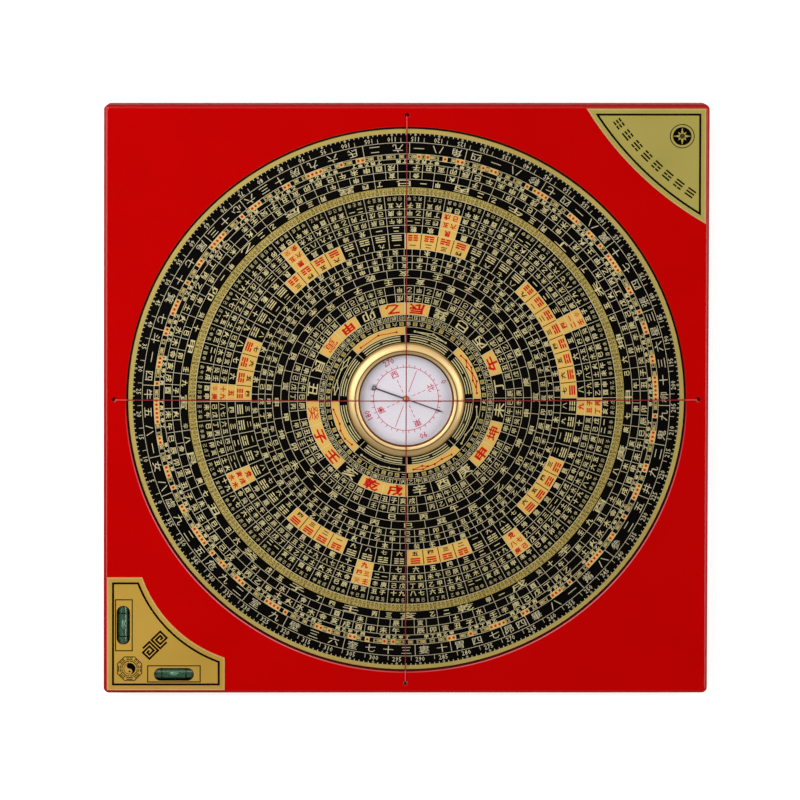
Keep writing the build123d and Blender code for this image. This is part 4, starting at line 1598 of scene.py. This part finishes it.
@dataclass
class PlatePrint:
    """The black print on the two corner plates, a painted highlight along their rims and the plain ornaments on
    them.

    Args:
        frame_shift: how far its middle lies off its level's axis.
        side_arm: width of the level plate at its end.
        front_arm: the same at its other end.
        hollow: how deep its arc is.
        bulge: how far the corner plate's arc stands out.
        row_shares: where the row starts and ends along that arc.
    """

    ink_lift: float = 0.015
    rim_lift: float = 0.01
    star_lift: float = 0.03
    border_inset: float = 2.15
    border_width: float = 0.75
    rim_inset: float = 0.3
    rim_width: float = 0.38
    frame_width: float = 0.38
    frame_sides: tuple[float, float] = (18.9, 6.0)
    frame_shift: float = 0.2
    side_arm: float = 12.7
    front_arm: float = 12.0
    hollow: float = 4.9
    octagon: tuple[float, float] = (8.1, 8.0)
    octagon_radius: float = 4.75
    fret: tuple[float, float] = (17.2, 16.7)
    fret_size: float = 5.1
    bulge: float = 3.8
    row_inset: float = 4.5
    row_shares: tuple[float, float] = (0.14, 0.86)
    row_size: tuple[float, float] = (3.4, 3.0)
    rose: tuple[float, float] = (8.6, 10.1)
    rose_radius: float = 4.3
    rose_line: float = 0.3
    rose_disc_share: float = 0.78
    arc_points: int = 24

    def build(self) -> None:
        """Makes one sheet of print for each plate."""
        self.level_plate()
        self.corner_plate()

    def outline(self, inset: float, low: np.ndarray, size: np.ndarray) -> np.ndarray:
        """The level plate's outline moved inwards: its sides by the inset, and its arc about the same centre.

        Args:
            inset: how far inwards.
            low: the plate's lowest corner.
            size: its width and depth.

        Returns:
            The closed outline's points.
        """
        centre, radius = arc_centre(low + (size[0], self.front_arm), low + (self.side_arm, size[1]), self.hollow)
        low, high = low + inset, low + size - inset
        arc = centre + (radius + inset) * ray(arc_turns(radius + inset, high - centre, self.arc_points))
        return np.concatenate([[(low[0], high[1]), low, (high[0], low[1])], arc[::-1]])

    def level_plate(self) -> None:
        """The level plate's border, the painted highlight along its rim, the frames round its windows, the
        octagon of trigrams and a fret.
        """
        low, high = box_of("level_plate")
        sheet = Sheet("level_plate_print", BLACK_INK, high[2] + self.ink_lift, "board")
        corner, size = low[:2], (high - low)[:2]
        sheet.add(stroke(self.outline(self.border_inset, corner, size), self.border_width, closed=True))
        # the rim is a painted highlight along the plate's edge
        rim = Sheet("level_plate_rim_highlight", EDGE_HIGHLIGHT, high[2] + self.rim_lift, "board", "gold_plate")
        rim.add(stroke(self.outline(self.rim_inset, corner, size), self.rim_width, closed=True))
        for vial, sides, shift in (("vial_glass_x", self.frame_sides, (0.0, self.frame_shift)),
                                   ("vial_glass_y", self.frame_sides[::-1], (self.frame_shift, 0.0))):
            middle = sum(box_of(vial))[:2] / 2 + shift
            sheet.add(stroke(box_shape(*sides, *middle).points, self.frame_width, closed=True))
        for shape in Octagon(self.octagon_radius).shapes():
            sheet.add(shape.moved(tuple(corner + self.octagon)))
        for shape in fret_pair(self.fret_size):
            sheet.add(shape.moved(tuple(corner + self.fret), -45.0))
        sheet.build()
        rim.build()

    def corner_plate(self) -> None:
        """The corner plate's border, the painted highlight along its rim, a row of trigrams along the border and
        an eight-pointed rose.
        """
        low, high = box_of("corner_plate")
        corner = high[:2]
        start, end = np.array([low[0], corner[1]]), np.array([corner[0], low[1]])
        centre, radius = arc_centre(end, start, self.bulge)
        sheet = Sheet("corner_plate_print", BLACK_INK, high[2] + self.ink_lift, "board")
        # the rim is a painted highlight along the plate's edge
        rim = Sheet("corner_plate_rim_highlight", EDGE_HIGHLIGHT, high[2] + self.rim_lift, "board", "gold_plate")
        star = Sheet("corner_plate_star", CORNER_GOLD, high[2] + self.star_lift, "board", "gold_plate")
        for target, inset, width in ((rim, self.rim_inset, self.rim_width),
                                     (sheet, self.border_inset, self.border_width)):
            reach = radius - inset
            turns = arc_turns(reach, corner - inset - centre, self.arc_points)
            path = np.concatenate([centre + reach * ray(turns), [corner - inset]])
            target.add(stroke(path, width, closed=True))
        for index, share in enumerate(np.linspace(*self.row_shares, 8)):
            angle = turns[0] + (turns[-1] - turns[0]) * share
            place = centre + (reach - self.row_inset) * ray(angle)
            sheet.add(trigram(index, *self.row_size).moved(tuple(place), angle + 90.0))
        rose = tuple(corner - self.rose)
        sheet.add(ring_shape(self.rose_radius, self.rose_line).moved(rose),
                  disc_shape(self.rose_radius * self.rose_disc_share, *rose, 32))
        star.add(*(shape.moved(rose) for shape in compass_rose(self.rose_radius)))
        for made in (sheet, rim, star):
            made.build()


def arc_centre(start: np.ndarray, end: np.ndarray, sagitta: float) -> tuple[np.ndarray, float]:
    """The centre and radius of an arc that leaves its chord by a sagitta, to the left of the way.

    Args:
        start: the arc's start.
        end: the arc's end.
        sagitta: how far its middle leaves the chord.

    Returns:
        The centre and the radius.
    """
    chord = end - start
    length = np.linalg.norm(chord)
    left = np.array([-chord[1], chord[0]]) / length
    radius = length**2 / 8 / sagitta + sagitta / 2
    return (start + end) / 2 + left * (sagitta - radius), radius


def arc_turns(radius: float, corner: np.ndarray, points: int) -> np.ndarray:
    """The angles of an arc that a corner (X, Y) cuts off, both taken from the arc's centre.

    It goes in equal steps from the angle of (-sqrt(R^2 - Y^2), Y) to that of (X, -sqrt(R^2 - X^2)).

    Args:
        radius: the arc's radius.
        corner: the corner's place.
        points: how many angles.

    Returns:
        The angles in degrees.
    """
    x, y = corner
    ends = np.degrees(np.arctan2([y, -np.sqrt(radius**2 - x**2)], [-np.sqrt(radius**2 - y**2), x])) % 360.0
    return np.linspace(*ends, points)


def ray(angle: float | np.ndarray) -> np.ndarray:
    """The unit vector (cos a, sin a) at an angle in degrees, or one for each angle."""
    return np.stack([np.cos(np.radians(angle)), np.sin(np.radians(angle))], -1)


def ring_shape(radius: float, width: float) -> Flat:
    """A thin ring about the origin."""
    return stroke(radius * ray(np.arange(0, 360, 9)), width, closed=True)


# Shares of a trigram's width and height: half of a broken line, its middle, and the distance of two lines
HALF_LINE_SHARE = 0.44
HALF_MIDDLE_SHARE = 0.28
LINE_PITCH_SHARE = 1 / 2.6


def trigram(number: int, width: float, height: float, thickness: float = 0.2) -> Flat:
    """A trigram of three lines: line j is whole where the binary digit j of the number is 1.

    Args:
        number: from 0 to 7.
        width: the lines' length.
        height: the figure's height.
        thickness: the lines' thickness as a share of the height.

    Returns:
        The figure about its middle.
    """
    shapes = []
    for line in range(3):
        y, thick = (line - 1) * height * LINE_PITCH_SHARE, height * thickness
        if number >> line & 1:
            shapes.append(box_shape(width, thick, 0, y))
        else:
            shapes += [box_shape(width * HALF_LINE_SHARE, thick, side * width * HALF_MIDDLE_SHARE, y)
                       for side in (-1, 1)]
    return joined(shapes)


@dataclass(frozen=True)
class Octagon:
    """The octagon of trigrams round the two-part circle of dark and light, with shares of the radius."""

    radius: float
    line_width: float = 0.3
    middle_share: float = 0.7
    size_shares: tuple[float, float] = (0.48, 0.34)
    circle_share: float = 0.43
    circle_line: float = 0.2
    eye_share: float = 0.17

    def shapes(self) -> list[Flat]:
        """The outline, the trigrams and the circle, about the origin."""
        corners = ray(22.5 + 45.0 * np.arange(8))
        inner = self.radius * self.circle_share
        shapes = [stroke(corners * self.radius, self.line_width, closed=True),
                  ring_shape(inner, self.circle_line)]
        width, height = (self.radius * share for share in self.size_shares)
        for index in range(8):
            angle = 45.0 * index
            middle = tuple(self.radius * self.middle_share * ray(angle))
            shapes.append(trigram(index, width, height).moved(middle, angle - 90.0))
        return shapes + self.dark_half(inner)

    def dark_half(self, radius: float) -> list[Flat]:
        """The dark half and its eyes: half the circle, then back along two half circles of half its radius.

        Args:
            radius: the circle's radius.

        Returns:
            The dark half with the light eye left open, and the dark eye.
        """
        path = radius * np.concatenate([
            ray(np.linspace(-90, 90, 20)),
            ray(np.linspace(90, 270, 12)) / 2 + (0, 0.5),
            ray(np.linspace(90, -90, 12)) / 2 - (0, 0.5)])
        eye = radius * self.eye_share
        hole = eye * ray(np.arange(0, -360, -30) - 270.0) - (0, radius / 2)
        return [filled(path, hole), disc_shape(eye, 0.0, radius / 2, 12)]


def filled(path: np.ndarray, *holes: np.ndarray) -> Flat:
    """Fills a closed outline with triangles, by Blender's own tessellation.

    Args:
        path: the outline's points.
        holes: the points of the outlines left open in it.

    Returns:
        The filled shape.
    """
    outlines = (path, *holes)
    found = tessellate_polygon([[Vector((x, y, 0.0)) for x, y in outline] for outline in outlines])
    return Flat(np.concatenate(outlines), np.array(found, int)).upward()


# The steps of a fret's path in its size, the shift of both spirals as a share of it, and the line in steps
FRET_STEPS = 4.6
FRET_SHIFT = 0.54
FRET_LINE = 0.64

# Shares of a rose's radius: a point's half width, its shoulder, and the lengths of its long and short points
ROSE_HALF_WIDTH = 0.13
ROSE_SHOULDER = 0.143
ROSE_LENGTHS = (0.76, 0.5)


def fret_pair(size: float) -> list[Flat]:
    """Two squared spirals, one over the other, a traditional fret.

    Args:
        size: the side of one spiral's square.

    Returns:
        The two spirals about the origin, the second turned half round.
    """
    unit = size / FRET_STEPS
    path = unit * np.array(
        [(0, 0), (0, 1), (-1, 1), (-1, -1), (1, -1), (1, 2), (-2, 2), (-2, -2), (2, -2), (2, 1)])
    offset = size * FRET_SHIFT
    return [stroke(side * path + (0, side * offset), unit * FRET_LINE) for side in (1, -1)]


def compass_rose(radius: float) -> list[Flat]:
    """An eight-pointed star: each point is a thin kite, long ones on the main directions."""
    shapes = []
    half_width, shoulder = radius * ROSE_HALF_WIDTH, radius * ROSE_SHOULDER
    for index in range(8):
        length = radius * ROSE_LENGTHS[index % 2]
        kite = Flat(np.array([(0, 0), (half_width, shoulder), (0, length), (-half_width, shoulder)]),
                    np.array([(0, 1, 2), (0, 2, 3)])).upward()
        shapes.append(kite.moved((0, 0), 45.0 * index))
    return shapes


@dataclass
class VialMarks:
    """The two printed rings round each level's tube, a bubble's length apart.

    Args:
        around: its points round the tube, with the first one again at the end.
    """

    spacing: float = 8.7
    width: float = 0.35
    lift: float = 0.012
    around: int = 33

    def build(self) -> None:
        """Makes both vials' rings: (x, R cos t, R sin t) over t and a short length of x, turned for one."""
        for name, axis in (("vial_glass_x", 0), ("vial_glass_y", 1)):
            low, high = box_of(name)
            middle, radius = (low + high) / 2, (high[2] - low[2]) / 2 + self.lift
            turn = np.linspace(0, 360, self.around)
            places = []
            corners = []
            for index, side in enumerate((-1, 1)):
                along = side * self.spacing / 2 + np.array([-0.5, 0.5]) * self.width
                x = np.repeat(along, self.around)
                y, z = np.tile(radius * ray(turn), (2, 1)).T
                places.append(np.stack([x, y, z] if axis == 0 else [-y, x, z], 1) + middle)
                corners.append(grid_corners(2, self.around)[:, ::-1] + index * 2 * self.around)
            made = triangle_object(f"{name}_marks", np.concatenate(places) * MM, np.concatenate(corners),
                                   BLACK_INK)
            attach(made, "board")
            log.info("%s_marks: two rings on board", name)


@dataclass
class Bubbles:
    """The air bubble in each level: an ellipsoid in the space that the liquid leaves free, its pale green a
    painted highlight.
    """

    half_length: float = 2.2
    radius: float = 1.02
    rise: float = 1.1
    rings: int = 9
    around: int = 16

    def build(self) -> None:
        """Makes both bubbles: (a cos u, r sin u cos t, r sin u sin t) with single points at both poles."""
        polar = np.pi * np.arange(1, self.rings + 1) / (self.rings + 1)
        turn = TWO_PI * np.arange(self.around) / self.around
        x = np.repeat(np.cos(polar), self.around) * self.half_length
        y = np.outer(np.sin(polar), np.cos(turn)).ravel() * self.radius
        z = np.outer(np.sin(polar), np.sin(turn)).ravel() * self.radius
        poles = np.array([(self.half_length, 0, 0), (-self.half_length, 0, 0)])
        shape = np.concatenate([np.stack([x, y, z], 1), poles])
        first = (np.arange(self.rings - 1)[:, None] * self.around + np.arange(self.around)).ravel()
        beside = first - first % self.around + (first + 1) % self.around
        near, far = np.arange(self.around), np.arange(self.around) + (self.rings - 1) * self.around
        after = (near + 1) % self.around
        corners = np.concatenate([
            np.stack([first, first + self.around, beside + self.around], 1),
            np.stack([first, beside + self.around, beside], 1),
            np.stack([near, after, np.full(self.around, len(shape) - 2)], 1),
            np.stack([far, np.full(self.around, len(shape) - 1), after + far[0]], 1)])
        for name, node in (("vial_bubble_x", "vial_glass_x"), ("vial_bubble_y", "vial_glass_y")):
            middle = sum(box_of(node)) / 2 + (0, 0, self.rise)
            places = shape if name.endswith("x") else shape[:, [1, 0, 2]] * (-1, 1, 1)
            made = triangle_object(name, (places + middle) * MM, corners, BUBBLE_WITH_HIGHLIGHT)
            made.data.polygons.foreach_set("use_smooth", np.ones(len(corners), bool))
            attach(made, "board")
            log.info("%s: a bubble on board", name)


@dataclass
class Studio:
    """A pale floor, soft lamps round the object, a white horizon under a dark ceiling, and the camera.

    Args:
        centre_pixel: where the dial's axis lies in the picture.
        sky: heights of the world's direction, from 0 to 1, and the linear colours there.
        front_from: the direction's y where the world is darkest and where it is brightest.
        front_shade: the world's strength at those two.
        lamps: each lamp's name, its place and side in metres, and its power in watts.
    """

    distance: float = 12.0
    tilt: float = 13.45
    azimuth: float = -3.0
    roll: float = -0.16
    pixels_per_mm: float = 2.78
    sensor: float = 36.0
    picture: float = 800.0
    centre_pixel: tuple[float, float] = (406.1, 399.8)
    floor_half: float = 5.0
    floor_drop: float = 0.00005
    floor_points: int = 21
    sky: tuple[tuple[float, Colour], ...] = (
        (0.0, (0.75, 0.7, 0.66)), (0.25, (0.6, 0.5, 0.4)), (0.55, (0.25, 0.21, 0.18)),
        (0.8, (0.02, 0.018, 0.016)))
    front_from: tuple[float, float] = (-0.9, 0.67)
    front_shade: tuple[float, float] = (0.4, 1.0)
    lamps: tuple[tuple[str, tuple[float, float, float], float, float], ...] = (
        ("left_lamp", (-0.4, 0.13, 0.44), 0.62, 3.55),
        ("right_lamp", (0.8, 0.0, 0.64), 0.8, 5.7),
        ("back_lamp", (0.0, 0.6, 0.7), 1.05, 2.65),
        ("front_lamp", (0.1, -0.62, 0.3), 0.7, 0.35),
    )

    def build(self) -> None:
        """Sets the floor, the lamps, the world and the camera."""
        self.floor()
        self.world()
        for name, place, size, power in self.lamps:
            self.lamp(name, place, size, power)
        self.camera()
        bpy.context.scene.view_settings.view_transform = "Standard"

    def floor(self) -> None:
        """A flat grid just under the object."""
        line = np.linspace(-self.floor_half, self.floor_half, self.floor_points)
        x, y = np.meshgrid(line, line)
        places = np.stack([x, y, np.full_like(x, -self.floor_drop)], -1).reshape(-1, 3)
        triangle_object("floor", places, grid_corners(self.floor_points, self.floor_points), FLOOR)

    def world(self) -> None:
        """The world: the sky's ramp over the height z of the direction, times the front shade over its y."""
        world = bpy.data.worlds.new("studio")
        bpy.context.scene.world = world
        world.use_nodes = True
        graph = Graph(world.node_tree)
        place = graph.add("ShaderNodeTexCoord").outputs["Generated"]
        _, y, z = graph.add("ShaderNodeSeparateXYZ", Vector=place).outputs
        ramp = graph.add("ShaderNodeValToRGB", Fac=z)
        points = ramp.color_ramp.elements
        while len(points) < len(self.sky):
            points.new(0.5)
        for point, (height, colour) in zip(points, self.sky):
            point.position, point.color = height, (*colour, 1)
        graph.set(world.node_tree.nodes["Background"], Color=ramp.outputs[0],
                  Strength=graph.spread(y, *self.front_shade, *self.front_from))

    def lamp(self, name: str, place: tuple[float, float, float], size: float, power: float) -> None:
        """A square soft lamp that faces the object and isn't seen itself.

        Args:
            name: the lamp's name.
            place: where it hangs, in metres.
            size: its side in metres.
            power: its power in watts.
        """
        light = bpy.data.lights.new(name, "AREA")
        light.shape = "SQUARE"
        light.size = size
        light.energy = power
        holder = bpy.data.objects.new(name, light)
        bpy.context.scene.collection.objects.link(holder)
        holder.location = place
        holder.rotation_euler = Vector(place).to_track_quat("Z", "Y").to_euler()
        holder.visible_camera = False

    def camera(self) -> None:
        """The camera: a long lens from slightly behind, with the board's middle at its pixel.

        It stands towards (sin t sin a, sin t cos a, cos t) for the tilt t and the azimuth a. Its right is
        level before the roll, and its up is square to both.
        """
        data = bpy.data.cameras.new("camera")
        data.sensor_width = self.sensor
        frame_width = self.picture / self.pixels_per_mm * MM
        data.lens = self.sensor * self.distance / frame_width
        holder = bpy.data.objects.new("camera", data)
        bpy.context.scene.collection.objects.link(holder)
        tilt, azimuth, roll = np.radians([self.tilt, self.azimuth, self.roll])
        back = np.array([np.sin(tilt) * np.sin(azimuth), np.sin(tilt) * np.cos(azimuth), np.cos(tilt)])
        level = np.cross([0.0, 1.0, 0.0], back)
        level /= np.linalg.norm(level)
        upright = np.cross(back, level)
        right = level * np.cos(roll) - upright * np.sin(roll)
        up = level * np.sin(roll) + upright * np.cos(roll)
        side, drop = (np.array(self.centre_pixel) - self.picture / 2) / self.pixels_per_mm * MM
        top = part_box("outer_board")[1][2]
        holder.location = np.array([0, 0, top]) + back * self.distance - right * side + up * drop
        holder.rotation_euler = Matrix(np.stack([right, up, back], 1).tolist()).to_euler()
        bpy.context.scene.camera = holder


def clear_start() -> None:
    """Removes what Blender's own start file holds."""
    kept = set(frame["nodes"].values()) | set(frame["bodies"].values())
    for made in list(bpy.data.objects):
        if made not in kept:
            bpy.data.objects.remove(made)


def dress_nodes() -> None:
    """Gives each CAD node its finish."""
    for name, finish in NODE_FINISHES.items():
        node = frame["nodes"][name]
        node.data.materials.clear()
        node.data.materials.append(finish.material())
        log.info("%s: %s", name, finish.name)


def main() -> None:
    """Builds the looks in order."""
    clear_start()
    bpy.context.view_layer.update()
    dress_nodes()
    book = SignBook()
    low, high = box_of("dial_plate")
    DialPrint(book, radius=high[0], face=high[2], hole_radius=box_of("bezel_ring")[1][0] + 0.1).build()
    CardPrint(book, level=box_of("compass_card")[1][2]).build()
    PlatePrint().build()
    VialMarks().build()
    Bubbles().build()
    Studio().build()


if __name__ == "__main__":
    main()
